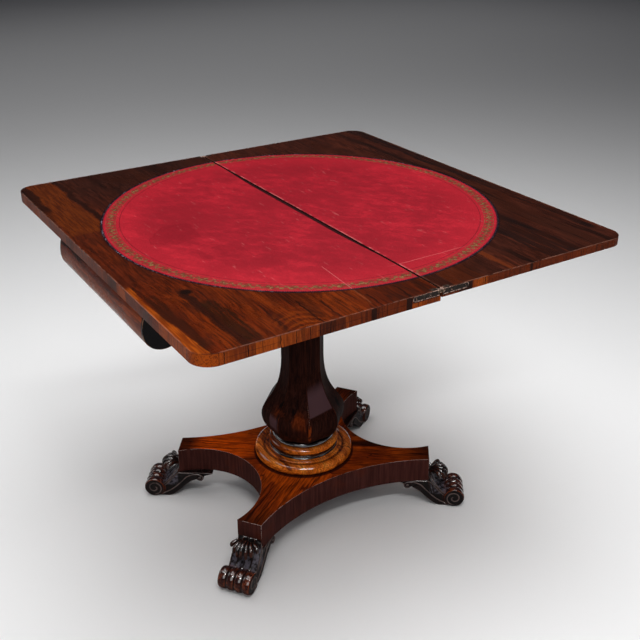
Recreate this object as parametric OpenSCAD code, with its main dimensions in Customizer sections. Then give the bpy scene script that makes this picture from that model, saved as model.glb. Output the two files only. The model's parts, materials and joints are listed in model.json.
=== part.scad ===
// Fold-over card table on an octagonal column and a four-armed platform.
// Millimetres, +Z up, origin on the floor under the column, fold line along Y.

/* [Top] */
// Height of the playing surface above the floor
table_h = 710; // [670:1:780]
// Length of each leaf along the fold line
leaf_len = 914; // [860:1:980]
// Depth of each leaf, from the fold line outwards
leaf_depth = 448; // [430:1:470]
// Thickness of the lower leaf, which turns on the pivot
fixed_t = 22; // [20:0.5:28]
// Thickness of the flap
flap_t = 16; // [15:0.5:20]
// Radius of the two outer corners of each leaf
corner_r = 36; // [20:1:60]
// Thickness of the sheet of face veneer
veneer_t = 1; // [0.6:0.1:1.5]
// Thickness of the cross-banded lipping on the outer edges
lipping_t = 4; // [2:0.5:8]
// Radius of the leather playing surface
leather_r = 397; // [300:1:405]
// Width of the dark line between the leather and the veneer
string_w = 2.5; // [1.5:0.5:6]

/* [Hinges] */
// Open gap between the leaves at the fold
fold_gap = 2.8; // [2.6:0.1:3.4]
// Distance between the two pins of a hinge link
pin_pitch = 8; // [7.8:0.1:8.4]
// Diameter of a hinge pin
pin_d = 2.8; // [2:0.1:3.2]
// Running clearance around a hinge pin, on the radius
pin_clear = 0.05; // [0.03:0.01:0.1]
// Outer radius of a hinge knuckle
knuckle_r = 3.4; // [2.8:0.1:3.5]
// Thickness of the hinge link along the pins
link_t = 4; // [2.5:0.1:6]
// Thickness of the plate's lug behind the link
lug_t = 3; // [2:0.1:5]
// Length of a hinge plate
plate_len = 58; // [50:1:90]
// Height of a hinge plate
plate_h = 10.5; // [9:0.5:11]
// Thickness of a hinge plate
plate_t = 2.6; // [2:0.1:3]
// Wood left above a hinge plate
plate_margin = 1; // [0.5:0.1:2]
// Gap between the closed leaves
closed_gap = 0.4; // [0.3:0.05:0.5]
// Rounding of the long edges that meet at the fold
fold_r = 2; // [1.9:0.1:2.2]
// Length of the ear of a hinge plate on the surface of a leaf
ear_len = 12; // [8:0.5:16]
// Thickness of the ear
ear_t = 1.2; // [0.8:0.1:1.6]
// Distance from the far end of a hinge plate to its first screw
screw_edge = 7; // [5:0.5:9]
// Distance between the screws of a hinge plate
screw_pitch = 15; // [12:0.5:16]

/* [Pivot] */
// Diameter of the pivot bolt
bolt_d = 16; // [12:1:20]
// Running clearance of the pivot bolt, on the radius
bolt_clear = 0.05; // [0.03:0.01:0.1]
// Diameter of the round plate under the lower leaf
pivot_plate_d = 76; // [60:1:90]
// Thickness of the round plate
pivot_plate_t = 3; // [2:0.5:5]
// Diameter of the washer below the pivot rail
washer_d = 42; // [30:1:56]
// Width of the nut across its flats
nut_w = 27; // [24:1:34]
// Height of the nut
nut_h = 12; // [8:1:16]
// Diameter of the stop peg
peg_d = 16; // [10:1:20]
// How far the stop peg stands out below the leaf
peg_drop = 15; // [8:1:24]
// Distance of the stop peg to the left of the pivot
peg_reach = 178; // [150:1:200]

/* [Frieze] */
// How far the closed top overhangs the rolled ends
end_overhang = 17; // [10:1:40]
// How far the closed top overhangs the end caps at the front and back
front_overhang = 10; // [6:1:24]
// Height of the rails
frieze_h = 82; // [74:1:90]
// Radius of the rolled ends
roll_r = 38; // [34:1:41]
// How far the rolls reach below the rails
roll_drop = 4; // [0:1:8]
// Thickness of the end caps of the rolls
cap_t = 6; // [3:1:10]
// Thickness of the front and back rails
rail_t = 20; // [16:1:26]
// Depth of the solid wood behind each roll
end_block = 36; // [24:1:50]
// Gap between the frieze and the turning top
swivel_gap = 0.3; // [0.2:0.05:0.5]
// Thickness of the pivot rail
pivot_rail_t = 28; // [22:1:34]
// Thickness of the board that forms the side of the card well
partition_t = 12; // [8:1:18]
// Thickness of the well's floor
floor_t = 6; // [4:1:10]
// Thickness of the baize in the well
baize_t = 1; // [0.6:0.1:2]
// Thickness of the bearer under the well
bearer_t = 24; // [20:1:30]
// Width of the bearer
bearer_w = 180; // [170:2:240]
// Side of a glue block
block_w = 28; // [16:1:36]
// How far the side of the card well stands in from the edge of the bearer
well_inset = 24; // [10:1:40]

/* [Column] */
// Widest radius of the column, over its corners
belly_r = 95; // [85:1:105]
// Radius of the slender upper part, over its corners
neck_r = 47.5; // [42:0.5:54]
// Radius at the foot of the column, over its corners
column_foot_r = 66; // [60:1:72]
// Radius at the top of the column, over its corners
column_head_r = 62; // [56:1:70]
// Height of the widest point above the foot of the column
belly_h = 50; // [40:1:60]
// Height at which the belly has run out into the slender part
neck_h = 185; // [160:1:210]
// Length of the flare at the top
flare_h = 95; // [60:1:120]
// Diameter of the lower tenon
tenon_d = 50; // [40:1:60]
// Diameter of the upper tenon
head_tenon_d = 44; // [36:1:50]
// Thickness of the octagonal capping
capping_t = 24; // [18:1:30]
// Radius of the capping, over its corners
capping_r = 84; // [74:1:88]
// Thickness of the wedge in the lower tenon
wedge_t = 8; // [5:1:12]

/* [Collar] */
// Outer radius of the lower ring
ring_r = 112; // [104:1:118]
// Height of the lower ring
ring_h = 22; // [16:1:28]
// Radius of the hollow ring at its foot
scotia_r = 80; // [78:1:86]
// Height of the hollow ring
scotia_h = 10; // [8:1:16]
// Outer radius of the upper ring
upper_ring_r = 79; // [76:1:84]
// Height of the upper ring
upper_ring_h = 14; // [10:1:18]
// Outer radius of the ring under the column
foot_ring_r = 70.5; // [68:0.5:74]
// Height of the ring under the column
foot_ring_h = 12; // [8:1:16]
// Play between the rings and the tenon, on the radius
ring_clear = 0.1; // [0.05:0.05:0.3]

/* [Platform] */
// Thickness of the platform
platform_t = 58; // [50:1:66]
// Distance from the axis to the end of each arm
arm_r = 290; // [270:1:310]
// Angle of the arms from the X axis
arm_angle = 35.8; // [32:0.1:40]
// Width of the end of each arm
arm_w = 55; // [48:1:60]
// Distance from the axis to the hollow left and right sides
waist_x = 134; // [124:1:144]
// Distance from the axis to the hollow front and back sides
waist_y = 132; // [124:1:142]

/* [Feet] */
// Height of the platform's underside above the floor
foot_h = 67; // [60:1:76]
// Width of the foot behind the toes
foot_w = 62; // [58:1:68]
// Number of reeds on the toe roll
reeds = 4; // [3:1:6]
// Length of the toe roll
toe_w = 72; // [64:1:84]
// Radius of the toe roll
toe_r = 23; // [20:1:26]
// Reach of the toe roll's centre beyond the arm
toe_reach = 62; // [56:1:70]
// Height of the foot's shoulder on the end of the arm
shoulder_h = 104; // [94:1:112]
// Number of lobes of the shell
lobes = 7; // [5:2:9]
// Length of the shell's middle lobe
lobe_len = 40; // [32:1:46]
// Radius of a lobe
lobe_r = 6; // [5:0.5:7]
// Reach of the back scroll's centre behind the arm's end
scroll_reach = 47; // [40:1:56]
// Radius of the back scroll
scroll_r = 9; // [7:0.5:11]
// Reach of the pointed tip behind the arm's end
tip_reach = 78; // [66:1:84]
// Diameter of a foot dowel
dowel_d = 14; // [10:1:18]
// Length of a foot dowel on each side of the joint
dowel_reach = 22; // [16:1:28]

/* [Screws] */
// Shank diameter of the wood screws
screw_d = 5; // [4:0.5:6]
// Head diameter of the wood screws
screw_head = 10; // [8:0.5:12]
// Shank diameter of the hinge screws
small_screw_d = 2.5; // [2:0.1:3]
// Head diameter of the hinge screws
small_screw_head = 5.2; // [4:0.1:6]

/* [Hidden] */
$fn = 64;
eps = 0.01;
over = 2;

// Heights, from the floor up
platform_top = foot_h + platform_t;
collar_h = ring_h + scotia_h + upper_ring_h + foot_ring_h;
column_z = platform_top + collar_h;
fixed_z = table_h - fixed_t;
flap_z = table_h - flap_t;
frieze_top = fixed_z - swivel_gap;
frieze_z = frieze_top - frieze_h;
column_top = frieze_z - capping_t;
column_h = column_top - column_z;
floor_z = frieze_z + bearer_t;
well_z = floor_z + floor_t;
veneer_z = table_h - veneer_t;

// The top in plan: x of the inner and outer edges of a leaf
inner_x = fold_gap / 2;
outer_x = inner_x + leaf_depth;
leaf_mid = inner_x + leaf_depth / 2;

// The pivot lies so that a quarter turn brings the closed leaves over the frieze
pivot_x = -leaf_mid / 2;
pivot_y = leaf_mid / 2;

// Hinge axes, one each side of the fold
pin_x = pin_pitch / 2;
pin_z = table_h - (pin_pitch - closed_gap) / 2;
pocket_gap = 0.3;
edge_y = leaf_len / 2;
plate_z = table_h - plate_margin - plate_h;
lug_y = -edge_y + link_t + pocket_gap / 2;
lug_end = lug_y + lug_t;
lug_root = 4;
root_z = pin_z - knuckle_r;
root_x = pin_x + knuckle_r + pocket_gap;
ear_w = link_t + lug_t + 2;

// The frieze in plan, under the closed top
rail_y = leaf_depth / 2 - front_overhang - cap_t;
inside_y = rail_y - rail_t;
roll_x = leaf_len / 2 - end_overhang - roll_r;
roll_z = frieze_z - roll_drop + roll_r;
inside_x = roll_x - end_block;

// The stop peg meets the back rail when open and the pivot rail when closed
stop_gap = 0.3;
peg_y = inside_y - stop_gap - peg_d / 2;
peg_dy = peg_y - pivot_y;
pivot_rail_x0 = pivot_x - peg_dy + peg_d / 2 + stop_gap;
partition_x0 = well_inset - bearer_w / 2;
washer_t = 3;
washer_gap = 0.1;
pivot_plate_z = fixed_z + pivot_plate_t;
washer_z = frieze_top - pivot_rail_t - washer_gap - washer_t;
bolt_tail = 4;

octagon = 8;
flat_ratio = cos(180 / octagon);
arms = [180 + arm_angle, -arm_angle, arm_angle, 180 - arm_angle];

// Points along a cubic curve from a to d, steered by b and c
function curve(a, b, c, d, steps = 12) =
    [for (i = [0:steps]) let (t = i / steps, s = 1 - t)
        s * s * s * a + 3 * s * s * t * b + 3 * s * t * t * c + t * t * t * d];

// Radius of a circle through the ends of a chord, given half the chord and its sagitta
function arc_radius(half, sag) = (half * half + sag * sag) / (2 * sag);

// Wood screw pointing up from its head at z = 0
module screw(len, d, head) {
    head_h = (head - d) / 2;
    cylinder(h = head_h, d1 = head, d2 = d, $fn = 32);
    translate([0, 0, head_h - eps]) cylinder(h = len - head_h - d + 2 * eps, d = d, $fn = 32);
    translate([0, 0, len - d]) cylinder(h = d, d1 = d, d2 = d / 4, $fn = 32);
}

// One arm of the platform, or one foot, turned to its place
module at_arm(i) {
    rotate([0, 0, arms[i]]) translate([arm_r, 0, 0]) children();
}

dowel_u = -16;
foot_screw_u = -38;
foot_screw_len = 42;
foot_screw_z = foot_h - 0.4 * foot_screw_len;

module foot_screw_cut() {
    translate([foot_screw_u, 0, foot_screw_z]) screw(foot_screw_len, screw_d, screw_head);
}

module foot_dowel_shape() {
    translate([dowel_u, 0, foot_h - dowel_reach]) cylinder(h = 2 * dowel_reach, d = dowel_d);
}

// Platform: a straight-sided figure through the arm ends, hollowed by four large arcs
module platform() {
    c = cos(arm_angle);
    s = sin(arm_angle);
    near_x = arm_r * c - arm_w / 2 * s;
    far_x = arm_r * c + arm_w / 2 * s;
    near_y = arm_r * s - arm_w / 2 * c;
    far_y = arm_r * s + arm_w / 2 * c;
    side_r = arc_radius(near_y, far_x - waist_x);
    front_r = arc_radius(near_x, far_y - waist_y);
    color("#6b2f14") difference() {
        translate([0, 0, foot_h]) linear_extrude(platform_t) polygon([
            [far_x, near_y], [near_x, far_y], [-near_x, far_y], [-far_x, near_y],
            [-far_x, -near_y], [-near_x, -far_y], [near_x, -far_y], [far_x, -near_y]
        ]);
        for (side = [-1, 1]) {
            translate([side * (waist_x + side_r), 0, foot_h - over])
                cylinder(h = platform_t + 2 * over, r = side_r, $fn = 128);
            translate([0, side * (waist_y + front_r), foot_h - over])
                cylinder(h = platform_t + 2 * over, r = front_r, $fn = 128);
        }
        translate([0, 0, foot_h - over]) cylinder(h = platform_t + 2 * over, r = tenon_d / 2 + ring_clear);
        for (i = [0:3]) at_arm(i) {
            foot_dowel_shape();
            foot_screw_cut();
        }
    }
}

// Foot seen from the side: shoulder on the arm's end, hollow neck, sole, S-curved underside
module foot_side() {
    neck_top = [0.21 * toe_reach, 0.92 * shoulder_h];
    neck_foot = [toe_reach - toe_r, 1.5 * toe_r];
    sole_back = [0.52 * toe_reach, 0];
    rise_end = [-0.77 * scroll_reach, 0.7 * foot_h];
    polygon(concat(
        [[-tip_reach, foot_h], [0, foot_h], [0, shoulder_h], [lobe_r, shoulder_h]],
        curve(neck_top, [0.26 * toe_reach, 0.67 * shoulder_h], [0.45 * toe_reach, 2.2 * toe_r], neck_foot),
        [[toe_reach, toe_r], [toe_reach, 0]],
        curve(sole_back, [0.08 * toe_reach, 0.01 * foot_h],
            [-0.21 * scroll_reach, 0.58 * foot_h], rise_end),
        [[-0.85 * scroll_reach, 0.72 * foot_h], [-1.23 * scroll_reach, 0.82 * foot_h],
            [-tip_reach, 0.96 * foot_h]]
    ));
    translate([-scroll_reach, 0.79 * foot_h]) circle(r = scroll_r);
}

// Toe roll: turned in one piece, with rounded reeds side by side and a button on each end
module toe_roll() {
    pitch = toe_w / reeds;
    bulge = pitch * 0.36;
    button_r = toe_r / 2;
    button_t = 0.014 * toe_w;
    end_y = toe_w / 2;
    steps = 8;
    translate([toe_reach, 0, 0.965 * toe_r]) rotate([90, 0, 0]) rotate_extrude($fn = 96)
        polygon(concat(
            [[0, -end_y - button_t], [button_r, -end_y - button_t], [button_r, -end_y]],
            [for (i = [0:reeds - 1]) for (k = [0:steps])
                if (k > 0 || i == 0)
                    [toe_r - bulge + bulge * sin(180 * k / steps),
                        -end_y + pitch * (i + (1 - cos(180 * k / steps)) / 2)]],
            [[button_r, end_y], [button_r, end_y + button_t], [0, end_y + button_t]]
        ));
}

// One lobe of the shell, growing from a slim root to a round tip
module lobe(len) {
    root_r = lobe_r * 0.6;
    rotate_extrude($fn = 32) polygon(concat(
        [[0, 0], [root_r, 0]],
        [for (a = [0:15:90]) [lobe_r * cos(a), len - lobe_r + lobe_r * sin(a)]]
    ));
}

// Shell over the neck: lobes that fan out and droop from the end of the arm
module shell() {
    spread = 150;
    droop = 30;
    for (i = [0:lobes - 1]) {
        a = (i / (lobes - 1) - 0.5) * spread;
        translate([1.15 * lobe_r, 0.01 * lobe_r * a, shoulder_h - 1.15 * lobe_r])
            rotate([0, 90 + droop * cos(a), a])
            lobe(lobe_len * (1 - 0.25 * abs(sin(a))));
    }
}

module foot(i) {
    color("#1d1412") at_arm(i) difference() {
        union() {
            translate([0, foot_w / 2, 0]) rotate([90, 0, 0]) linear_extrude(foot_w) foot_side();
            intersection() {
                union() {
                    toe_roll();
                    shell();
                }
                translate([0, -toe_w, 0]) cube([2 * toe_reach, 2 * toe_w, table_h]);
            }
        }
        foot_dowel_shape();
        foot_screw_cut();
        translate([foot_screw_u, 0, -over]) cylinder(h = foot_screw_z + over, d = screw_head, $fn = 32);
    }
}

module foot_screws() {
    color("#77726a") for (i = [0:3]) at_arm(i) foot_screw_cut();
}

module foot_dowels() {
    color("#b08a58") for (i = [0:3]) at_arm(i) foot_dowel_shape();
}

// Ring turned from a half profile and bored for the tenon
module turned_ring(z, h) {
    translate([0, 0, z]) rotate_extrude($fn = 128) difference() {
        children();
        translate([-over, -over]) square([tenon_d / 2 + ring_clear + over, h + 2 * over]);
    }
}

// Half profile of a ring whose whole edge is one round bead
module bead_profile(r, h) {
    translate([r - h / 2, h / 2]) circle(r = h / 2);
    square([r - h / 2, h]);
}

module collar_lower_ring() {
    bead = ring_h / 2;
    groove = 4;
    fillet_w = 8;
    color("#a8591f") turned_ring(platform_top, ring_h) {
        union() {
            translate([ring_r - bead, bead]) circle(r = bead);
            square([ring_r - bead, ring_h - groove]);
            square([scotia_r + fillet_w, ring_h - 1]);
            square([scotia_r, ring_h]);
        }
    }
}

module collar_hollow() {
    lip = 3;
    color("#17100e") turned_ring(platform_top + ring_h, scotia_h) {
        difference() {
            square([scotia_r, scotia_h]);
            translate([scotia_r + 1, scotia_h / 2]) circle(r = scotia_h * 0.6);
            translate([scotia_r - lip, scotia_h / 2]) square([lip + over, scotia_h]);
        }
    }
}

module collar_upper_ring() {
    color("#a8591f") turned_ring(platform_top + ring_h + scotia_h, upper_ring_h)
        bead_profile(upper_ring_r, upper_ring_h);
}

module column_foot_ring() {
    color("#17100e") turned_ring(column_z - foot_ring_h, foot_ring_h)
        bead_profile(foot_ring_r, foot_ring_h);
}

// Half outline of the column over its corners, from its foot to its head
function column_outline() = concat(
    curve([column_foot_r, 0], [0.45 * column_foot_r + 0.55 * belly_r, 0.12 * belly_h],
        [belly_r, 0.55 * belly_h], [belly_r, belly_h], 8),
    curve([belly_r, belly_h], [belly_r, 0.72 * belly_h + 0.28 * neck_h], [1.05 * neck_r, 0.5 * neck_h],
        [neck_r, neck_h], 14),
    curve([neck_r, column_h - flare_h], [neck_r, column_h - 0.4 * flare_h],
        [0.4 * neck_r + 0.6 * column_head_r, column_h - 0.15 * flare_h], [column_head_r, column_h], 8)
);

// The same outline over the flats, on one side of the axis
function column_side(side) = [for (p = column_outline()) [side * p[0] * flat_ratio, p[1]]];

module column_slab() {
    right = column_side(1);
    left = column_side(-1);
    n = len(left);
    translate([0, belly_r, 0]) rotate([90, 0, 0]) linear_extrude(2 * belly_r)
        polygon(concat(right, [for (i = [1:n]) left[n - i]]));
}

wedge_h = 36;
wedge_w = tenon_d - 4;

module wedge_shape() {
    translate([0, wedge_w / 2, foot_h]) rotate([90, 0, 0]) linear_extrude(wedge_w)
        polygon([[-wedge_t / 2, 0], [wedge_t / 2, 0], [wedge_t / 4, wedge_h], [-wedge_t / 4, wedge_h]]);
}

module column() {
    color("#2a1512") difference() {
        union() {
            translate([0, 0, column_z]) intersection() {
                column_slab();
                rotate([0, 0, 45]) column_slab();
                rotate([0, 0, 90]) column_slab();
                rotate([0, 0, 135]) column_slab();
            }
            translate([0, 0, foot_h]) cylinder(h = column_z - foot_h + 1, d = tenon_d);
            translate([0, 0, column_top - 1]) cylinder(h = floor_z - column_top + 1, d = head_tenon_d);
        }
        wedge_shape();
    }
}

module column_wedge() {
    color("#c29a62") wedge_shape();
}

capping_screws_n = 4;
capping_screw_len = capping_t + bearer_t / 2;
capping_step = 6;

module capping_screw_cut() {
    for (i = [0:capping_screws_n - 1]) rotate([0, 0, i * 360 / capping_screws_n])
        translate([flat_ratio * (column_head_r + capping_r - capping_step) / 2, 0, column_top])
            screw(capping_screw_len, screw_d, screw_head);
}

module column_capping() {
    step_h = capping_t / 2;
    color("#2a1512") difference() {
        rotate([0, 0, 180 / octagon]) union() {
            translate([0, 0, column_top + step_h - eps])
                cylinder(h = capping_t - step_h + eps, r = capping_r, $fn = octagon);
            translate([0, 0, column_top]) cylinder(h = step_h, r = capping_r - capping_step, $fn = octagon);
        }
        translate([0, 0, column_top - over])
            cylinder(h = capping_t + 2 * over, r = head_tenon_d / 2 + ring_clear);
        capping_screw_cut();
    }
}

module capping_screws() {
    color("#77726a") capping_screw_cut();
}

module bearer() {
    color("#8a6239") difference() {
        translate([-bearer_w / 2, -inside_y, frieze_z]) cube([bearer_w, 2 * inside_y, bearer_t]);
        translate([0, 0, frieze_z - over])
            cylinder(h = bearer_t + 2 * over, r = head_tenon_d / 2 + ring_clear);
        capping_screw_cut();
    }
}

module rail(side) {
    y0 = side > 0 ? inside_y : -rail_y;
    translate([-inside_x, y0, frieze_z]) cube([2 * inside_x, rail_t, frieze_h]);
}

module front_rail() {
    color("#4a2116") rail(-1);
}

module back_rail() {
    color("#4a2116") rail(1);
}

// Section of a rolled end, pointing to +X: round below, fuller where it meets the leaf
module roll_section() {
    tip_x = roll_x + roll_r;
    rise = frieze_top - roll_z;
    intersection() {
        translate([roll_x, roll_z]) circle(r = roll_r, $fn = 96);
        translate([inside_x, roll_z - roll_r]) square([2 * roll_r + end_block, roll_r + eps]);
    }
    translate([inside_x, frieze_z]) square([end_block, frieze_top - frieze_z]);
    polygon(concat(
        [[inside_x, frieze_top], [inside_x, roll_z]],
        curve([tip_x, roll_z], [tip_x, roll_z + 0.5 * rise], [tip_x - 0.16 * roll_r, roll_z + 0.83 * rise],
            [tip_x - 0.42 * roll_r, frieze_top])
    ));
}

module roll_solid(side, y0, len) {
    mirror([side > 0 ? 0 : 1, 0, 0]) translate([0, y0 + len, 0]) rotate([90, 0, 0])
        linear_extrude(len) roll_section();
}

module end_roll_left() {
    color("#5a2716") roll_solid(-1, -rail_y, 2 * rail_y);
}

module end_roll_right() {
    color("#5a2716") roll_solid(1, -rail_y, 2 * rail_y);
}

module roll_cap(x_side, y_side) {
    color("#0f0b0a") roll_solid(x_side, y_side > 0 ? rail_y : -rail_y - cap_t, cap_t);
}

// The pivot rail runs from front to back under the lower leaf
module pivot_rail() {
    z = frieze_top - pivot_rail_t;
    color("#8a6239") difference() {
        translate([pivot_rail_x0, -inside_y, z])
            cube([partition_x0 - pivot_rail_x0, 2 * inside_y, pivot_rail_t]);
        translate([pivot_x, pivot_y, z - over])
            cylinder(h = pivot_rail_t + 2 * over, r = bolt_d / 2 + bolt_clear);
    }
}

module well_partition() {
    color("#8a6239") translate([partition_x0, -inside_y, floor_z])
        cube([partition_t, 2 * inside_y, frieze_top - floor_z]);
}

well_x0 = partition_x0 + partition_t;

module well_floor() {
    color("#9a7146") translate([well_x0, -inside_y, floor_z])
        cube([inside_x - well_x0, 2 * inside_y, floor_t]);
}

module well_baize() {
    color("#274a33") translate([well_x0, -inside_y, well_z])
        cube([inside_x - well_x0, 2 * inside_y, baize_t]);
}

// Three-cornered blocks in the open end of the frieze and beside the bearer
module glue_block(x, y, x_side, y_side, h) {
    translate([x, y, floor_z - h]) linear_extrude(h)
        polygon([[0, 0], [x_side * block_w, 0], [0, y_side * block_w]]);
}

module glue_blocks() {
    color("#9a7146") for (side = [-1, 1]) {
        glue_block(-inside_x, side * inside_y, 1, -side, bearer_t);
        glue_block(-bearer_w / 2, side * inside_y, -1, -side, bearer_t);
        glue_block(bearer_w / 2, side * inside_y, 1, -side, bearer_t);
        glue_block(inside_x, side * inside_y, -1, -side, bearer_t);
    }
}

// Plan of a leaf on the +X side, with its two outer corners rounded
module leaf_plan(inset = 0) {
    r = corner_r - inset;
    x1 = outer_x - inset;
    y1 = edge_y - inset;
    difference() {
        translate([inner_x, -y1]) square([x1 - inner_x, 2 * y1]);
        for (side = [-1, 1]) difference() {
            translate([x1 - r, side > 0 ? y1 - r : -y1 - over]) square([r + over, r + over]);
            translate([x1 - r, side * (y1 - r)]) circle(r = r);
        }
    }
}

// Everything near the fold stays below a rounded edge
module fold_round(z0) {
    translate([0, edge_y + over, 0]) rotate([90, 0, 0]) linear_extrude(2 * (edge_y + over)) {
        translate([inner_x + fold_r, z0 - over]) square([leaf_depth + over, table_h - z0 + 2 * over]);
        translate([inner_x, z0 - over]) square([fold_r + eps, table_h - z0 + over - fold_r]);
        translate([inner_x + fold_r, table_h - fold_r]) circle(r = fold_r, $fn = 48);
    }
}

// Room for the hinge in the end of a leaf on the +X side, at the front edge
module hinge_pocket() {
    deep = link_t + lug_t + 2 * pocket_gap;
    r = knuckle_r + pocket_gap;
    translate([inner_x - over, -edge_y - over, plate_z])
        cube([plate_len - plate_h / 2 + over, plate_t + over, plate_h]);
    translate([inner_x + plate_len - plate_h / 2, -edge_y - over, plate_z + plate_h / 2])
        rotate([-90, 0, 0]) cylinder(h = plate_t + over, d = plate_h, $fn = 32);
    translate([pin_x, -edge_y - over, pin_z]) rotate([-90, 0, 0])
        cylinder(h = deep + over, r = r, $fn = 48);
    translate([inner_x - over, -edge_y - over, pin_z - r])
        cube([pin_x - inner_x + over, deep + over, 2 * r + over]);
    translate([pin_x - eps, -edge_y - over, pin_z]) cube([r, deep + over, r + over]);
    translate([pin_x, -edge_y - over, root_z])
        cube([root_x + lug_root - pin_x, over + edge_y + lug_end, table_h - ear_t - root_z + eps]);
    translate([pin_x, -edge_y - over, table_h - ear_t])
        cube([root_x + ear_len - pin_x, ear_w + over, ear_t + over]);
    hinge_screw_places() small_screw();
}

hinge_screws_n = 3;
small_screw_len = 16;

module small_screw() {
    rotate([-90, 0, 0]) screw(small_screw_len, small_screw_d, small_screw_head);
}

module hinge_screw_places() {
    for (i = [0:hinge_screws_n - 1])
        translate([inner_x + plate_len - screw_edge - i * screw_pitch, -edge_y, plate_z + plate_h / 2])
            children();
}

// The same thing at both ends of the fold
module both_ends() {
    children();
    mirror([0, 1, 0]) children();
}

// Ring between two radii about the middle of the open top, cut at the fold
module half_ring_plan(r_in, r_out) {
    intersection() {
        difference() {
            circle(r = r_out, $fn = 180);
            circle(r = r_in, $fn = 180);
        }
        translate([inner_x, -edge_y]) square([leaf_depth, 2 * edge_y]);
    }
}

module leaf_core(z0) {
    difference() {
        intersection() {
            translate([0, 0, z0]) linear_extrude(veneer_z - z0) leaf_plan(lipping_t);
            fold_round(z0);
        }
        both_ends() hinge_pocket();
    }
}

module leaf_lipping(z0) {
    difference() {
        intersection() {
            translate([0, 0, z0]) linear_extrude(veneer_z - z0) difference() {
                leaf_plan();
                leaf_plan(lipping_t);
            }
            fold_round(z0);
        }
        both_ends() hinge_pocket();
    }
}

module leaf_veneer() {
    difference() {
        intersection() {
            translate([0, 0, veneer_z]) linear_extrude(veneer_t) difference() {
                leaf_plan();
                circle(r = leather_r + string_w, $fn = 180);
            }
            fold_round(veneer_z);
        }
        both_ends() hinge_pocket();
    }
}

module leaf_stringing() {
    intersection() {
        translate([0, 0, veneer_z]) linear_extrude(veneer_t)
            half_ring_plan(leather_r, leather_r + string_w);
        fold_round(veneer_z);
    }
}

module leaf_leather() {
    intersection() {
        translate([0, 0, veneer_z]) linear_extrude(veneer_t) intersection() {
            circle(r = leather_r, $fn = 180);
            translate([inner_x, -edge_y]) square([leaf_depth, 2 * edge_y]);
        }
        fold_round(veneer_z);
    }
}

// Flat part of a hinge plate, let into the edge and cut away around the link
module hinge_plate_flat() {
    straight = inner_x + plate_len - plate_h / 2;
    room = knuckle_r + pocket_gap;
    difference() {
        union() {
            translate([pin_x, -edge_y, plate_z]) cube([straight - pin_x, plate_t, plate_h]);
            translate([straight, -edge_y, plate_z + plate_h / 2]) rotate([-90, 0, 0])
                cylinder(h = plate_t, d = plate_h, $fn = 32);
        }
        translate([pin_x, -edge_y - over, pin_z]) rotate([-90, 0, 0])
            cylinder(h = plate_t + 2 * over, r = room, $fn = 48);
        translate([pin_x - over, -edge_y - over, pin_z])
            cube([over + room, plate_t + 2 * over, plate_h]);
    }
}

// Hinge plate at the front end of the fold on the +X side, with its lug, root and top ear
module hinge_plate() {
    difference() {
        union() {
            hinge_plate_flat();
            translate([pin_x, lug_y, pin_z]) rotate([-90, 0, 0])
                cylinder(h = lug_t, r = knuckle_r, $fn = 48);
            translate([pin_x, lug_y, root_z])
                cube([root_x + lug_root - pin_x, lug_t, table_h - ear_t - root_z]);
            translate([root_x, -edge_y, root_z])
                cube([lug_root, lug_end + edge_y, table_h - ear_t - root_z]);
            translate([root_x, -edge_y, table_h - ear_t]) cube([ear_len, ear_w, ear_t]);
        }
        translate([pin_x, -edge_y - over, pin_z]) rotate([-90, 0, 0])
            cylinder(h = link_t + lug_t + 3 * over, d = pin_d, $fn = 32);
        hinge_screw_places() small_screw();
    }
}

// Pin at the front end of the fold on the +X side
module hinge_pin() {
    translate([pin_x, -edge_y, pin_z]) rotate([-90, 0, 0])
        cylinder(h = lug_end + edge_y, d = pin_d, $fn = 32);
}

// Link between the two pins, flush with the front edge of the leaves
module hinge_link() {
    color("#6d5530") difference() {
        translate([0, -edge_y + link_t, 0]) rotate([90, 0, 0]) linear_extrude(link_t) {
            for (side = [-1, 1]) translate([side * pin_x, pin_z]) circle(r = knuckle_r, $fn = 48);
            translate([-pin_x, pin_z - knuckle_r]) square([2 * pin_x, 2 * knuckle_r]);
        }
        for (side = [-1, 1]) translate([side * pin_x, -edge_y - over, pin_z]) rotate([-90, 0, 0])
            cylinder(h = link_t + 2 * over, r = pin_d / 2 + pin_clear, $fn = 48);
    }
}

module on_fixed_side() {
    mirror([1, 0, 0]) children();
}

pivot_screws_n = 4;
pivot_screw_len = 14;

module pivot_screw_cut() {
    for (i = [0:pivot_screws_n - 1])
        translate([pivot_x, pivot_y, fixed_z]) rotate([0, 0, 45 + i * 360 / pivot_screws_n])
            translate([pivot_plate_d / 2 - screw_head, 0, 0]) screw(pivot_screw_len, screw_d, screw_head);
}

peg_x = pivot_x - peg_reach;
peg_in = 12;

module peg_shape(down) {
    translate([peg_x, peg_y, fixed_z - down]) cylinder(h = down + peg_in, d = peg_d);
}

module fixed_leaf_core() {
    color("#7a4a2a") difference() {
        on_fixed_side() leaf_core(fixed_z);
        translate([pivot_x, pivot_y, fixed_z - over])
            cylinder(h = pivot_plate_t + over, d = pivot_plate_d);
        pivot_screw_cut();
        peg_shape(over);
    }
}

module fixed_leaf_lipping() {
    color("#8a3d18") on_fixed_side() leaf_lipping(fixed_z);
}

module fixed_leaf_veneer() {
    color("#4a2215") on_fixed_side() leaf_veneer();
}

module fixed_leaf_stringing() {
    color("#1a1210") on_fixed_side() leaf_stringing();
}

module fixed_leaf_leather() {
    color("#b81c33") on_fixed_side() leaf_leather();
}

module pivot_plate() {
    color("#5d5a55") difference() {
        translate([pivot_x, pivot_y, fixed_z]) cylinder(h = pivot_plate_t, d = pivot_plate_d);
        translate([pivot_x, pivot_y, fixed_z - over]) cylinder(h = pivot_plate_t + 2 * over, d = bolt_d);
        pivot_screw_cut();
    }
}

module pivot_plate_screws() {
    color("#77726a") pivot_screw_cut();
}

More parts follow.
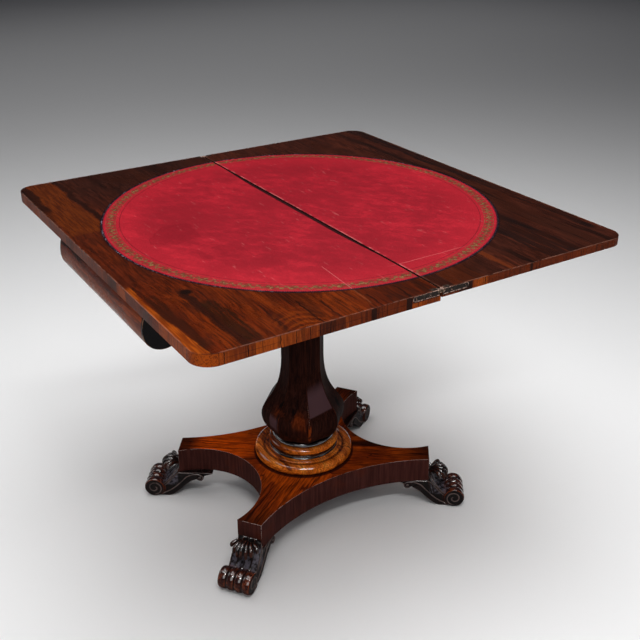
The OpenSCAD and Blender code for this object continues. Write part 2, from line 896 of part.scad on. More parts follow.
module pivot_bolt() {
    z0 = washer_z - nut_h - bolt_tail;
    color("#6b6862") translate([pivot_x, pivot_y, z0]) cylinder(h = pivot_plate_z - z0, d = bolt_d);
}

module pivot_washer() {
    color("#6b6862") translate([pivot_x, pivot_y, washer_z]) difference() {
        cylinder(h = washer_t, d = washer_d);
        translate([0, 0, -over]) cylinder(h = washer_t + 2 * over, d = bolt_d);
    }
}

module pivot_nut() {
    hexagon = 6;
    color("#5d5a55") translate([pivot_x, pivot_y, washer_z - nut_h]) difference() {
        cylinder(h = nut_h, r = nut_w / 2 / cos(180 / hexagon), $fn = hexagon);
        translate([0, 0, -over]) cylinder(h = nut_h + 2 * over, d = bolt_d);
    }
}

module stop_peg() {
    color("#b08a58") peg_shape(peg_drop);
}

module fixed_hinge_plate_front() {
    color("#7b6136") on_fixed_side() hinge_plate();
}

module fixed_hinge_plate_back() {
    color("#7b6136") on_fixed_side() mirror([0, 1, 0]) hinge_plate();
}

module fixed_hinge_screws() {
    color("#8f7a4c") on_fixed_side() both_ends() hinge_screw_places() small_screw();
}

module fixed_hinge_pins() {
    color("#8f7a4c") on_fixed_side() both_ends() hinge_pin();
}

module hinge_link_front() {
    hinge_link();
}

module hinge_link_back() {
    mirror([0, 1, 0]) hinge_link();
}

module flap_core() {
    color("#7a4a2a") leaf_core(flap_z);
}

module flap_lipping() {
    color("#7a3416") leaf_lipping(flap_z);
}

module flap_veneer() {
    color("#40190f") leaf_veneer();
}

module flap_stringing() {
    color("#1a1210") leaf_stringing();
}

module flap_leather() {
    color("#b81c33") leaf_leather();
}

module flap_hinge_plate_front() {
    color("#7b6136") hinge_plate();
}

module flap_hinge_plate_back() {
    color("#7b6136") mirror([0, 1, 0]) hinge_plate();
}

module flap_hinge_screws() {
    color("#8f7a4c") both_ends() hinge_screw_places() small_screw();
}

module flap_hinge_pins() {
    color("#8f7a4c") both_ends() hinge_pin();
}

platform();
foot(0);  // foot_front
foot(1);  // foot_right
foot(2);  // foot_back
foot(3);  // foot_left
foot_screws();
foot_dowels();
collar_lower_ring();
collar_hollow();
collar_upper_ring();
column_foot_ring();
column();
column_wedge();
column_capping();
capping_screws();
bearer();
front_rail();
back_rail();
end_roll_left();
end_roll_right();
roll_cap(-1, -1);  // roll_cap_front_left
roll_cap(1, -1);  // roll_cap_front_right
roll_cap(-1, 1);  // roll_cap_back_left
roll_cap(1, 1);  // roll_cap_back_right
pivot_rail();
well_partition();
well_floor();
well_baize();
glue_blocks();
fixed_leaf_core();
fixed_leaf_lipping();
fixed_leaf_veneer();
fixed_leaf_stringing();
fixed_leaf_leather();
pivot_plate();
pivot_plate_screws();
pivot_bolt();
pivot_washer();
pivot_nut();
stop_peg();
fixed_hinge_plate_front();
fixed_hinge_plate_back();
fixed_hinge_screws();
fixed_hinge_pins();
hinge_link_front();
hinge_link_back();
flap_core();
flap_lipping();
flap_veneer();
flap_stringing();
flap_leather();
flap_hinge_plate_front();
flap_hinge_plate_back();
flap_hinge_screws();
flap_hinge_pins();
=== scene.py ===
"""Dresses the solids of a fold-over card table: veneers, tooled leather, turned and carved pieces, stage."""

import json
import math

import bpy
import numpy as np
from bpy.props import FloatProperty, FloatVectorProperty, IntProperty, PointerProperty
from bpy.types import Operator, Panel, PropertyGroup
from mathutils import Matrix, Vector

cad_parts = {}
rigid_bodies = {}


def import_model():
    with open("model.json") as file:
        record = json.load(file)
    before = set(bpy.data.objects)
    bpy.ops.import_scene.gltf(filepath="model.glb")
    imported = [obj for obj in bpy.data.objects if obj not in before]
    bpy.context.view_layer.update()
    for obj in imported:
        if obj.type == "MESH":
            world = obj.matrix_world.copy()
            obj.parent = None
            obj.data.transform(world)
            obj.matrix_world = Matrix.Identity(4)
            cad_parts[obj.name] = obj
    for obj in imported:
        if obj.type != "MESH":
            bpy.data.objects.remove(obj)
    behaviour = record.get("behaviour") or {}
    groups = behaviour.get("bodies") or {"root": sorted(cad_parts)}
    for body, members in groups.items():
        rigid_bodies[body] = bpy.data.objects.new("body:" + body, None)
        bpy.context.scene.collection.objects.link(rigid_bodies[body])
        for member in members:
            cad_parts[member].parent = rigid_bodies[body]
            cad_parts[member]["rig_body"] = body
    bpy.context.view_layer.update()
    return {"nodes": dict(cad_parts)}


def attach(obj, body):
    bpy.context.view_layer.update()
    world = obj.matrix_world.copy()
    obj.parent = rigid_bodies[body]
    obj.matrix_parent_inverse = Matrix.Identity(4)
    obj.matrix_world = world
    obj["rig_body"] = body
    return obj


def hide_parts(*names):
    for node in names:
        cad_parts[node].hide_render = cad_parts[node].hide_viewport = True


bl_info = {
    "name": "Fold-over card table",
    "version": (1, 0, 0),
    "blender": (4, 5, 0),
    "location": "3D View > Sidebar > Card table",
    "description": "Veneers, tooled leather, turned rings and carved feet for a fold-over card table",
    "category": "Object",
}

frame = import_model()

MM = 0.001
PICTURE_WIDTH = 640
# Arms of the platform: their turn away from X, and where a foot's middle line starts
ARM_ANGLE = math.radians(35.8)
ARM_REACH = 0.290
ARM_TURNS = {
    "front": math.pi + ARM_ANGLE,
    "right": -ARM_ANGLE,
    "back": ARM_ANGLE,
    "left": math.pi - ARM_ANGLE,
}
FLOOR_TO_PLATFORM = 0.067
PLATFORM_TOP = 0.125
# Top: its height, half its sides with both leaves open, and the radius of the leather
TABLE_TOP = 0.710
HALF_DEPTH = 0.4494
HALF_LENGTH = 0.457
LEATHER_EDGE = 0.397
# Leather: radius and half width of its tooled border, how often the border's stem, rosettes and teeth repeat
BORDER = 0.3808
BORDER_HALF = 0.0082
STEMS, ROSETTES, TEETH = 148, 60, 660
# Shrinkage crack through the lower leaf: where it would meet the middle of the table, and its slant
CRACK_PLACE = -0.1
CRACK_SLANT = -0.07
# Hinge plates: height of their middle line and of the screws, places of the screws, start of the round end
PLATE_HEIGHT = 0.70425
SCREW_HEIGHT = 0.70375
SCREW_PLACES = (0.0224, 0.0524)
PLATE_STRAIGHT = 0.0541
# Feet, in millimetres outwards from the middle line's start and up: half width, toe roll, spiral, back scroll
FOOT_HALF = 31
ROLL = (62, 23.4)
ROLL_RADIUS = 23.6
SPIRAL = (62, 23.6)
SCROLL = (-47, 53)
# Above this height the neck of a foot narrows, over the height after it, by the last share
NECK_LOW, NECK_TALL, NECK_NARROWS = 72, 23, 0.3


def paint(red, green, blue):
    """A colour given as it is read off a screen, 0 to 255, as the light values that nodes take."""
    def light(value):
        value = value / 255
        return value / 12.92 if value <= 0.04045 else ((value + 0.055) / 1.055) ** 2.4
    return light(red), light(green), light(blue)


def rgba(colour):
    return (*colour[:3], 1.0)


def tint(red, green, blue):
    """A colour as it is read off a screen, for a node."""
    return rgba(paint(red, green, blue))


# Settings

def colour_setting(name, description, *screen):
    return FloatVectorProperty(
        name=name, description=description, subtype="COLOR", min=0, max=1, default=paint(*screen))


def size_setting(name, description, size, low, high):
    """A length in millimetres, with its range."""
    return FloatProperty(
        name=name, description=description, unit="LENGTH", default=size * MM, min=low * MM, max=high * MM)


def place_setting(name, description, place):
    return FloatProperty(name=name, description=description, unit="LENGTH", default=place)


def angle_setting(name, description, degrees):
    return FloatProperty(name=name, description=description, subtype="ANGLE", default=math.radians(degrees))


def lamp_setting(name, description, power):
    return FloatProperty(name=name, description=description, subtype="POWER", default=power)


class CardTableColours(PropertyGroup):
    """Colours of the finishes."""

    leather: colour_setting("Leather", "Dyed colour of the leather", 152, 25, 38)
    leather_dark: colour_setting(
        "Leather, handled", "Colour where cards and hands have darkened the leather", 137, 24, 35)
    leather_bright: colour_setting(
        "Leather, fresh", "Colour beside the border, where nothing rubs", 182, 33, 46)
    tooling: colour_setting("Tooling", "Dulled gold leaf of the border", 140, 108, 68)
    wood_dark: colour_setting("Rosewood, dark lines", "Near-black figure", 32, 14, 9)
    wood_red: colour_setting("Rosewood, ground", "Main colour of the polished rosewood", 74, 26, 10)
    wood_gold: colour_setting("Rosewood, light", "Orange-brown streaks", 108, 41, 8)
    turned: colour_setting("Turned rings", "Honey-coloured wood of the collar", 212, 108, 32)
    ebony: colour_setting("Black polish", "Ebonised wood", 13, 11, 12)
    carved: colour_setting("Carved wood", "Dark polish in the hollows of the feet", 15, 11, 11)
    rubbed: colour_setting("Rubbed wood", "Wood that shows where the polish is rubbed away", 116, 54, 28)
    brass: colour_setting("Hinge brass", "Aged brass of the hinges", 122, 100, 78)


class CardTableShapes(PropertyGroup):
    """Sizes of the worked details."""

    arris: size_setting("Leaf arris", "Rounding along the edges of the leaves", 0.8, 0.2, 0.9)
    base_arris: size_setting(
        "Base arris", "Rounding along the edges of the platform and column", 1.4, 0.3, 3)
    reeds: IntProperty(
        name="Reeds", description="Round beads side by side on each toe roll", default=4, min=3, max=6)
    reed_depth: size_setting("Reed depth", "Depth of the valleys between the beads of a toe roll", 6, 2, 8)
    flute_depth: size_setting("Flute depth", "Depth of the grooves down the neck of a foot", 3.5, 1, 6)
    lobes: IntProperty(
        name="Shell lobes", description="Lobes of the shell on each foot", default=7, min=5, max=9)
    bead: size_setting("Bead", "Radius of the raised line that runs into the scrolls", 1.5, 0.8, 2.5)
    carving_step: size_setting("Carving step", "Mesh size of the carved feet", 0.9, 0.8, 3)


class CardTableStage(PropertyGroup):
    """Camera, lamps and floor."""

    focal_px: FloatProperty(
        name="Focal length", description="Focal length in pixels of a 640-pixel picture", default=927.95)
    heading: angle_setting("Heading", "How far round the camera stands", -32.143)
    tilt: angle_setting("Tilt", "How far the camera looks down", 26.582)
    roll: angle_setting("Roll", "Turn about the line of sight", 0.211)
    distance: place_setting(
        "Distance", "From the camera to the middle of the top, along the line of sight", 1.8974)
    across: place_setting("Across", "Place of the top's middle to the right of the line of sight", -0.0401)
    above: place_setting("Above", "Place of the top's middle above the line of sight", 0.2246)
    top_lamp: lamp_setting("Top lamp", "Power of the wide lamp overhead", 56)
    base_lamp: lamp_setting(
        "Base lamp", "Power of the lamp overhead that lights the base and the floor alone", 22)
    front_lamp: lamp_setting("Front lamp", "Power of the lamp above and behind the camera", 21)
    right_lamp: lamp_setting("Right lamp", "Power of the lamp at the right", 3)
    left_lamp: lamp_setting("Left lamp", "Power of the lamp behind the left side", 7)
    back_lamp: lamp_setting("Back lamp", "Power of the lamp over the floor behind the table", 13)
    spark_lamp: lamp_setting("Spark lamp", "Power of the narrow lamp that gives the highlights", 22)
    floor: colour_setting("Floor", "Colour of the floor", 245, 245, 245)


# Modelling by hand

def nothing_selected():
    if bpy.context.object and bpy.context.object.mode != "OBJECT":
        bpy.ops.object.mode_set(mode="OBJECT")
    bpy.ops.object.select_all(action="DESELECT")


def take(piece):
    """Makes the piece the one that the next operators work on."""
    nothing_selected()
    piece.select_set(True)
    bpy.context.view_layer.objects.active = piece


def new_point(name, place):
    """A mesh with one point, left in edit mode."""
    nothing_selected()
    bpy.ops.mesh.primitive_plane_add(size=1 * MM, location=(0, 0, 0))
    piece = bpy.context.object
    piece.name = piece.data.name = name
    bpy.ops.object.mode_set(mode="EDIT")
    bpy.ops.mesh.select_mode(type="VERT")
    bpy.ops.mesh.select_all(action="SELECT")
    bpy.ops.mesh.merge(type="CENTER")
    bpy.ops.transform.translate(value=place)
    return piece


def pull(points):
    """Draws a line from the selected point through the other points."""
    for start, end in zip(points, points[1:]):
        step = Vector(end) - Vector(start)
        bpy.ops.mesh.extrude_vertices_move(TRANSFORM_OT_translate={"value": step})


def tidy_mesh():
    """Merges doubles and turns every face outwards, then leaves edit mode."""
    bpy.ops.mesh.select_all(action="SELECT")
    bpy.ops.mesh.remove_doubles(threshold=0.01 * MM)
    bpy.ops.mesh.normals_make_consistent(inside=False)
    bpy.ops.object.mode_set(mode="OBJECT")


def turned(name, outline, steps, centre=(0, 0, 0), axis=(0, 0, 1)):
    """A piece turned on the lathe, from its outline as points in space."""
    piece = new_point(name, outline[0])
    pull(outline)
    bpy.ops.mesh.select_all(action="SELECT")
    bpy.ops.mesh.spin(steps=steps, angle=2 * math.pi, center=centre, axis=axis)
    tidy_mesh()
    return piece


def sawn(name, outline, depth, slices):
    """A board sawn to the outline and as thick as depth, which is a vector."""
    piece = new_point(name, outline[0])
    pull(outline)
    bpy.ops.mesh.select_all(action="SELECT")
    bpy.ops.mesh.edge_face_add()
    for _ in range(slices):
        bpy.ops.mesh.extrude_region_move(TRANSFORM_OT_translate={"value": Vector(depth) / slices})
    tidy_mesh()
    return piece


def copy_of_node(node, name, flat=0.5):
    """A CAD node's shape as a new piece, its loose triangles merged into whole faces."""
    mesh = frame["nodes"][node].data.copy()
    piece = bpy.data.objects.new(name, mesh)
    mesh.name = name
    mesh.materials.clear()
    bpy.context.scene.collection.objects.link(piece)
    take(piece)
    bpy.ops.object.mode_set(mode="EDIT")
    bpy.ops.mesh.customdata_custom_splitnormals_clear()
    bpy.ops.mesh.select_all(action="SELECT")
    bpy.ops.mesh.remove_doubles(threshold=0.02 * MM)
    bpy.ops.mesh.dissolve_limited(angle_limit=math.radians(flat))
    bpy.ops.object.mode_set(mode="OBJECT")
    return piece


def joined(pieces, name):
    take(pieces[0])
    for piece in pieces:
        piece.select_set(True)
    bpy.ops.object.join()
    pieces[0].name = pieces[0].data.name = name
    return pieces[0]


def soften(piece, width, segments, angle):
    """Rounds the edges that turn by more than the angle."""
    take(piece)
    bpy.ops.object.modifier_add(type="BEVEL")
    bevel = piece.modifiers[-1]
    bevel.width = width
    bevel.segments = segments
    bevel.limit_method = "ANGLE"
    bevel.angle_limit = math.radians(angle)
    bpy.ops.object.modifier_apply(modifier=bevel.name)


def smooth(piece, angle=32):
    """Smooth shading up to the angle, with the broad faces kept flat beside their rounded edges."""
    take(piece)
    bpy.ops.object.shade_smooth_by_angle(angle=math.radians(angle))
    bpy.ops.object.modifier_add(type="WEIGHTED_NORMAL")
    flat = piece.modifiers[-1]
    flat.weight = 100
    flat.keep_sharp = True
    bpy.ops.object.modifier_apply(modifier=flat.name)


def mark_high_places(piece, rounds):
    """Stores how far each point stands proud of its neighbours, for wear that follows the shape."""
    mesh = piece.data
    count = len(mesh.vertices)
    places = np.zeros(count * 3)
    mesh.vertices.foreach_get("co", places)
    places = places.reshape(-1, 3)
    normals = np.zeros(count * 3)
    mesh.vertices.foreach_get("normal", normals)
    normals = normals.reshape(-1, 3)
    ends = np.zeros(len(mesh.edges) * 2, int)
    mesh.edges.foreach_get("vertices", ends)
    first, second = ends.reshape(-1, 2).T
    step = places[first] - places[second]
    length = np.maximum(np.linalg.norm(step, axis=1), 1e-7)
    proud = np.zeros(count)
    number = np.zeros(count)
    np.add.at(proud, first, (normals[first] * step).sum(1) / length)
    np.add.at(proud, second, -(normals[second] * step).sum(1) / length)
    np.add.at(number, first, 1)
    np.add.at(number, second, 1)
    proud = proud / np.maximum(number, 1)
    for _ in range(rounds):
        total = proud.copy()
        np.add.at(total, first, proud[second])
        np.add.at(total, second, proud[first])
        proud = total / (number + 1)
    layer = mesh.attributes.new("proud", "FLOAT", "POINT")
    layer.data.foreach_set("value", proud.astype(np.float32))


def mark_arrises(piece, width):
    """Marks the narrow faces along the rounded edges, where polish wears through first and where a highlight
    is painted.
    """
    mesh = piece.data
    layer = mesh.attributes.new("arris", "FLOAT", "FACE")
    for face, mark in zip(mesh.polygons, layer.data):
        sides = [(mesh.vertices[a].co - mesh.vertices[b].co).length for a, b in face.edge_keys]
        mark.value = 1.0 if face.area < width * max(sides) else 0.0


def finished(piece, body, slot, material, *nodes):
    """Gives a new piece its finish and body, and puts it in place of its CAD nodes."""
    piece.data.materials.clear()
    piece.data.materials.append(material)
    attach(piece, body)
    if nodes:
        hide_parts(*nodes)
    return piece


def worn_copy(node, name, body, slot, material, width, segments, angle, narrow, flat=0.5, shading=32):
    """Puts a node's own shape in its place, with its edges rounded, and the narrow faces there marked."""
    piece = copy_of_node(node, name, flat)
    soften(piece, width, segments, angle)
    smooth(piece, shading)
    mark_arrises(piece, narrow)
    return finished(piece, body, slot, material, node)


def dressed(material, *nodes):
    """Puts a finish on CAD nodes that keep their own shape."""
    for node in nodes:
        piece = frame["nodes"][node]
        if not piece.material_slots:
            piece.data.materials.append(material)
        for place in piece.material_slots:
            place.material = material


# Shader nodes

class Recipe:
    """Places the nodes of a material or a node group, and joins them."""

    def __init__(self, tree):
        self.tree = tree

    def feed(self, socket, value):
        if isinstance(value, bpy.types.NodeSocket):
            self.tree.links.new(value, socket)
        else:
            socket.default_value = value

    def add(self, kind, inputs=None, **settings):
        node = self.tree.nodes.new(kind)
        for name, value in settings.items():
            setattr(node, name, value)
        for name, value in (inputs or {}).items():
            self.feed(node.inputs[name], value)
        return node

    def sum(self, operation, first, second=0.0):
        return self.add("ShaderNodeMath", {0: first, 1: second}, operation=operation).outputs[0]

    def times(self, first, second):
        return self.sum("MULTIPLY", first, second)

    def plus(self, first, second):
        return self.sum("ADD", first, second)

    def less(self, first, second):
        return self.sum("SUBTRACT", first, second)

    def size(self, value):
        """The value without its sign."""
        return self.sum("ABSOLUTE", value)

    def most(self, first, second):
        return self.sum("MAXIMUM", first, second)

    def reach(self, x, y):
        """Length of the line with these two parts."""
        return self.sum("SQRT", self.plus(self.times(x, x), self.times(y, y)))

    def heading(self, x, y):
        """How far round the upright axis a point lies, in radians from X."""
        return self.sum("ARCTAN2", y, x)

    def mark(self, name):
        """A value that the mesh carries, such as proud or arris."""
        return self.add("ShaderNodeAttribute", attribute_name=name).outputs["Fac"]

    def facing(self):
        """The three parts of the direction in which the surface faces."""
        return self.split(self.add("ShaderNodeTexCoord").outputs["Normal"])

    def split(self, vector):
        return self.add("ShaderNodeSeparateXYZ", {0: vector}).outputs

    def vector(self, x, y, z=0.0):
        return self.add("ShaderNodeCombineXYZ", {0: x, 1: y, 2: z}).outputs[0]

    def stretch(self, vector, factors):
        return self.add("ShaderNodeVectorMath", {0: vector, 1: factors}, operation="MULTIPLY").outputs[0]

    def noise(self, vector, scale, detail, rough=0.5):
        node = self.add("ShaderNodeTexNoise", {"Vector": vector, "Scale": scale, "Detail": detail,
                                               "Roughness": rough})
        return node.outputs["Fac"]

    def wander(self, amount, vector, scale, detail, rough=0.5):
        """A number that drifts to both sides of 0, by up to half of the amount."""
        return self.times(self.less(self.noise(vector, scale, detail, rough), 0.5), amount)

    def rise(self, value, low, high):
        """0 below low and 1 above high, smooth between; falls where low is the greater."""
        node = self.add("ShaderNodeMapRange", {"Value": value, "From Min": low, "From Max": high},
                        interpolation_type="SMOOTHSTEP")
        return node.outputs["Result"]

    def near(self, value, middle, half, soft):
        """1 within half of the middle, falling to 0 over soft."""
        away = self.size(self.less(value, middle))
        return self.rise(away, half + soft, half)

    def mix(self, share, first, second):
        node = self.add("ShaderNodeMix", data_type="RGBA")
        self.feed(node.inputs["Factor"], share)
        for index, value in ((6, first), (7, second)):
            self.feed(node.inputs[index], value)
        return node.outputs[2]

    def fade(self, share, first, second):
        """A number between first and second."""
        node = self.add("ShaderNodeMix", data_type="FLOAT")
        for index, value in ((0, share), (2, first), (3, second)):
            self.feed(node.inputs[index], value)
        return node.outputs[0]

    def group(self, name, inputs):
        node = self.add("ShaderNodeGroup", node_tree=bpy.data.node_groups[name])
        for key, value in inputs.items():
            self.feed(node.inputs[key], value)
        return node.outputs

    def rosewood(self, vector, bands, streaks, wander, dark, ground, light, share, lines):
        """The rosewood figure, from its vector, sizes, three colours and the share of light and of lines."""
        return self.group("rosewood figure", {
            "Vector": vector, "Bands": bands, "Streaks": streaks, "Wander": wander, "Dark": dark,
            "Ground": ground, "Light": light, "Light share": share, "Lines": lines})

    def polish(self, place, bright, dull):
        """Old polish, with its roughness between the two."""
        return self.group("old polish", {"Vector": place, "Bright": bright, "Dull": dull})

    def arris_wear_and_highlight(self, place, scale, detail, rough, low, high):
        """Mask of the pale places along the rounded edges: wear, and a painted highlight."""
        return self.times(self.mark("arris"), self.rise(self.noise(place, scale, detail, rough), low, high))


def new_group(name, inputs, outputs):
    """A shader node group with its sockets; gives the recipe, its inputs and a function that ends it."""
    kinds = {"value": "NodeSocketFloat", "colour": "NodeSocketColor", "vector": "NodeSocketVector"}
    tree = bpy.data.node_groups.new(name, "ShaderNodeTree")
    for label, kind, default in inputs:
        socket = tree.interface.new_socket(label, in_out="INPUT", socket_type=kinds[kind])
        if default is not None:
            socket.default_value = default
    for label, kind in outputs:
        tree.interface.new_socket(label, in_out="OUTPUT", socket_type=kinds[kind])
    recipe = Recipe(tree)
    entry = tree.nodes.new("NodeGroupInput").outputs
    leave = tree.nodes.new("NodeGroupOutput").inputs

    def end(**results):
        for label, value in results.items():
            tree.links.new(value, leave[label])
    return recipe, entry, end


def build_groups():
    """The effects that more than one finish uses."""
    # Rosewood figure. The vector runs across the grain in X and Z and along it in Y, in metres.
    r, given, end = new_group(
        "rosewood figure",
        [("Vector", "vector", None), ("Bands", "value", 26.0), ("Streaks", "value", 170.0),
         ("Wander", "value", 0.03), ("Dark", "colour", None), ("Ground", "colour", None),
         ("Light", "colour", None), ("Light share", "value", 0.6), ("Lines", "value", 0.7),
         ("Contrast", "value", 0.8)],
        [("Color", "colour"), ("Height", "value")])
    shift = r.wander(given["Wander"], r.stretch(given["Vector"], (8, 2.4, 8)), 1, 3, 0.55)
    moved = r.add("ShaderNodeVectorMath", {0: given["Vector"], 1: r.vector(shift, 0.0, shift)},
                  operation="ADD").outputs[0]
    bands = r.noise(r.stretch(moved, (1, 0.07, 1)), given["Bands"], 4, 0.6)
    streaks = r.noise(r.stretch(moved, (1, 0.055, 1)), given["Streaks"], 4, 0.7)
    thin = r.noise(r.stretch(moved, (1, 0.06, 1)), r.times(given["Bands"], 2.3), 3, 0.5)
    line = r.rise(r.size(r.less(thin, 0.5)), 0.020, 0.004)
    line = r.times(line, r.rise(bands, 0.62, 0.44))
    colour = r.mix(r.rise(bands, 0.38, 0.47), given["Dark"], given["Ground"])
    light = r.times(r.rise(bands, 0.49, 0.66), given["Light share"])
    colour = r.mix(light, colour, given["Light"])
    fine = r.less(r.rise(streaks, 0.34, 0.66), 0.55)
    strength = r.plus(1.0, r.times(fine, given["Contrast"]))
    colour = r.add("ShaderNodeVectorMath", {0: colour, "Scale": strength}, operation="SCALE").outputs[0]
    hairs = r.noise(r.stretch(moved, (1, 0.045, 1)), r.times(given["Streaks"], 1.15), 3, 0.6)
    colour = r.mix(r.times(r.rise(hairs, 0.53, 0.61), 0.5), colour, given["Dark"])
    pores = r.noise(r.stretch(moved, (1, 0.05, 1)), 1100, 2)
    pore = r.times(r.rise(pores, 0.60, 0.68), 0.5)
    dark = r.most(r.times(line, given["Lines"]), pore)
    colour = r.mix(dark, colour, given["Dark"])
    end(Color=colour, Height=r.less(r.times(streaks, 0.8), pore))

    # Old polish: broad dull and bright places, with fine rubbing. The roughness stays between the two given.
    r, given, end = new_group(
        "old polish",
        [("Vector", "vector", None), ("Bright", "value", 0.2), ("Dull", "value", 0.4)],
        [("Roughness", "value"), ("Height", "value")])
    broad = r.noise(given["Vector"], 9, 3, 0.6)
    fine = r.noise(given["Vector"], 260, 2, 0.6)
    share = r.rise(r.plus(r.times(broad, 0.75), r.times(fine, 0.25)), 0.34, 0.66)
    end(Roughness=r.fade(share, given["Bright"], given["Dull"]), Height=r.plus(r.times(fine, 0.3), broad))

    # Rubbed high places, broken up: the mask is 1 where the polish is gone.
    r, given, end = new_group(
        "rubbed places",
        [("Proud", "value", 0.0), ("Vector", "vector", None), ("Start", "value", 0.1),
         ("Full", "value", 0.3), ("Grain", "value", 180.0)],
        [("Mask", "value")])
    broken = r.rise(r.noise(given["Vector"], given["Grain"], 3, 0.6), 0.36, 0.58)
    high = r.rise(given["Proud"], given["Start"], given["Full"])
    end(Mask=r.times(high, broken))


def new_material(name):
    material = bpy.data.materials.new(name)
    material.use_nodes = True
    material.node_tree.nodes.clear()
    recipe = Recipe(material.node_tree)
    place = recipe.add("ShaderNodeTexCoord").outputs["Object"]
    return material, recipe, place


def surface(recipe, colour, rough, height=None, bump=0.1, depth=0.3 * MM, metal=0.0, specular=0.5,
            coat=0.0, coat_rough=0.2, coat_ior=1.5, sheen=0.0):
    """Ends a material with its shader."""
    shader = recipe.add("ShaderNodeBsdfPrincipled", {
        "Base Color": colour, "Roughness": rough, "Metallic": metal, "Specular IOR Level": specular,
        "Coat Weight": coat, "Coat Roughness": coat_rough, "Coat IOR": coat_ior,
        "Sheen Weight": sheen})
    if height is not None:
        relief = recipe.add("ShaderNodeBump", {"Height": height, "Strength": bump, "Distance": depth})
        recipe.feed(shader.inputs["Normal"], relief.outputs[0])
    out = recipe.add("ShaderNodeOutputMaterial")
    recipe.feed(out.inputs["Surface"], shader.outputs[0])


def strip_along_y(recipe, place, middle, half, low, high, soft, wobble):
    """Mask of a strip along Y, half of its width to each side of the middle, between low and high."""
    x, y, _ = recipe.split(place)
    strip = recipe.near(recipe.plus(x, wobble), middle, half, soft)
    return recipe.times(strip, recipe.near(y, (low + high) / 2, (high - low) / 2, 5 * soft))


def outside_patch(recipe, x, y, corners, wobble):
    """How far a point lies outside a patch with straight sides, in metres, and below 0 within it."""
    area = sum(a[0] * b[1] - b[0] * a[1] for a, b in zip(corners, corners[1:] + corners[:1]))
    turn = 1 if area > 0 else -1
    away = None
    for a, b in zip(corners, corners[1:] + corners[:1]):
        nx, ny = turn * (b[1] - a[1]), turn * (a[0] - b[0])
        length = math.hypot(nx, ny)
        nx, ny = nx / length, ny / length
        side = recipe.plus(recipe.times(x, nx), recipe.times(y, ny))
        side = recipe.less(side, nx * a[0] + ny * a[1])
        away = side if away is None else recipe.most(away, side)
    return recipe.plus(away, wobble)


def arm_lengths(recipe, x, y):
    """How far a point lies out along its arm of the platform, and how far to the side of the middle line."""
    wide = recipe.size(x)
    deep = recipe.size(y)
    along = recipe.plus(recipe.times(wide, math.cos(ARM_ANGLE)), recipe.times(deep, math.sin(ARM_ANGLE)))
    across = recipe.less(recipe.times(deep, math.cos(ARM_ANGLE)), recipe.times(wide, math.sin(ARM_ANGLE)))
    return along, across


def old_crack(recipe, x, y, soft, middle, half, fade_out):
    """Mask of the shrinkage crack through the lower leaf and its leather, for one stretch of its length."""
    line = recipe.near(recipe.plus(x, recipe.times(y, CRACK_SLANT)), CRACK_PLACE, 0.0004, soft)
    return recipe.times(line, recipe.near(y, middle, half, fade_out))


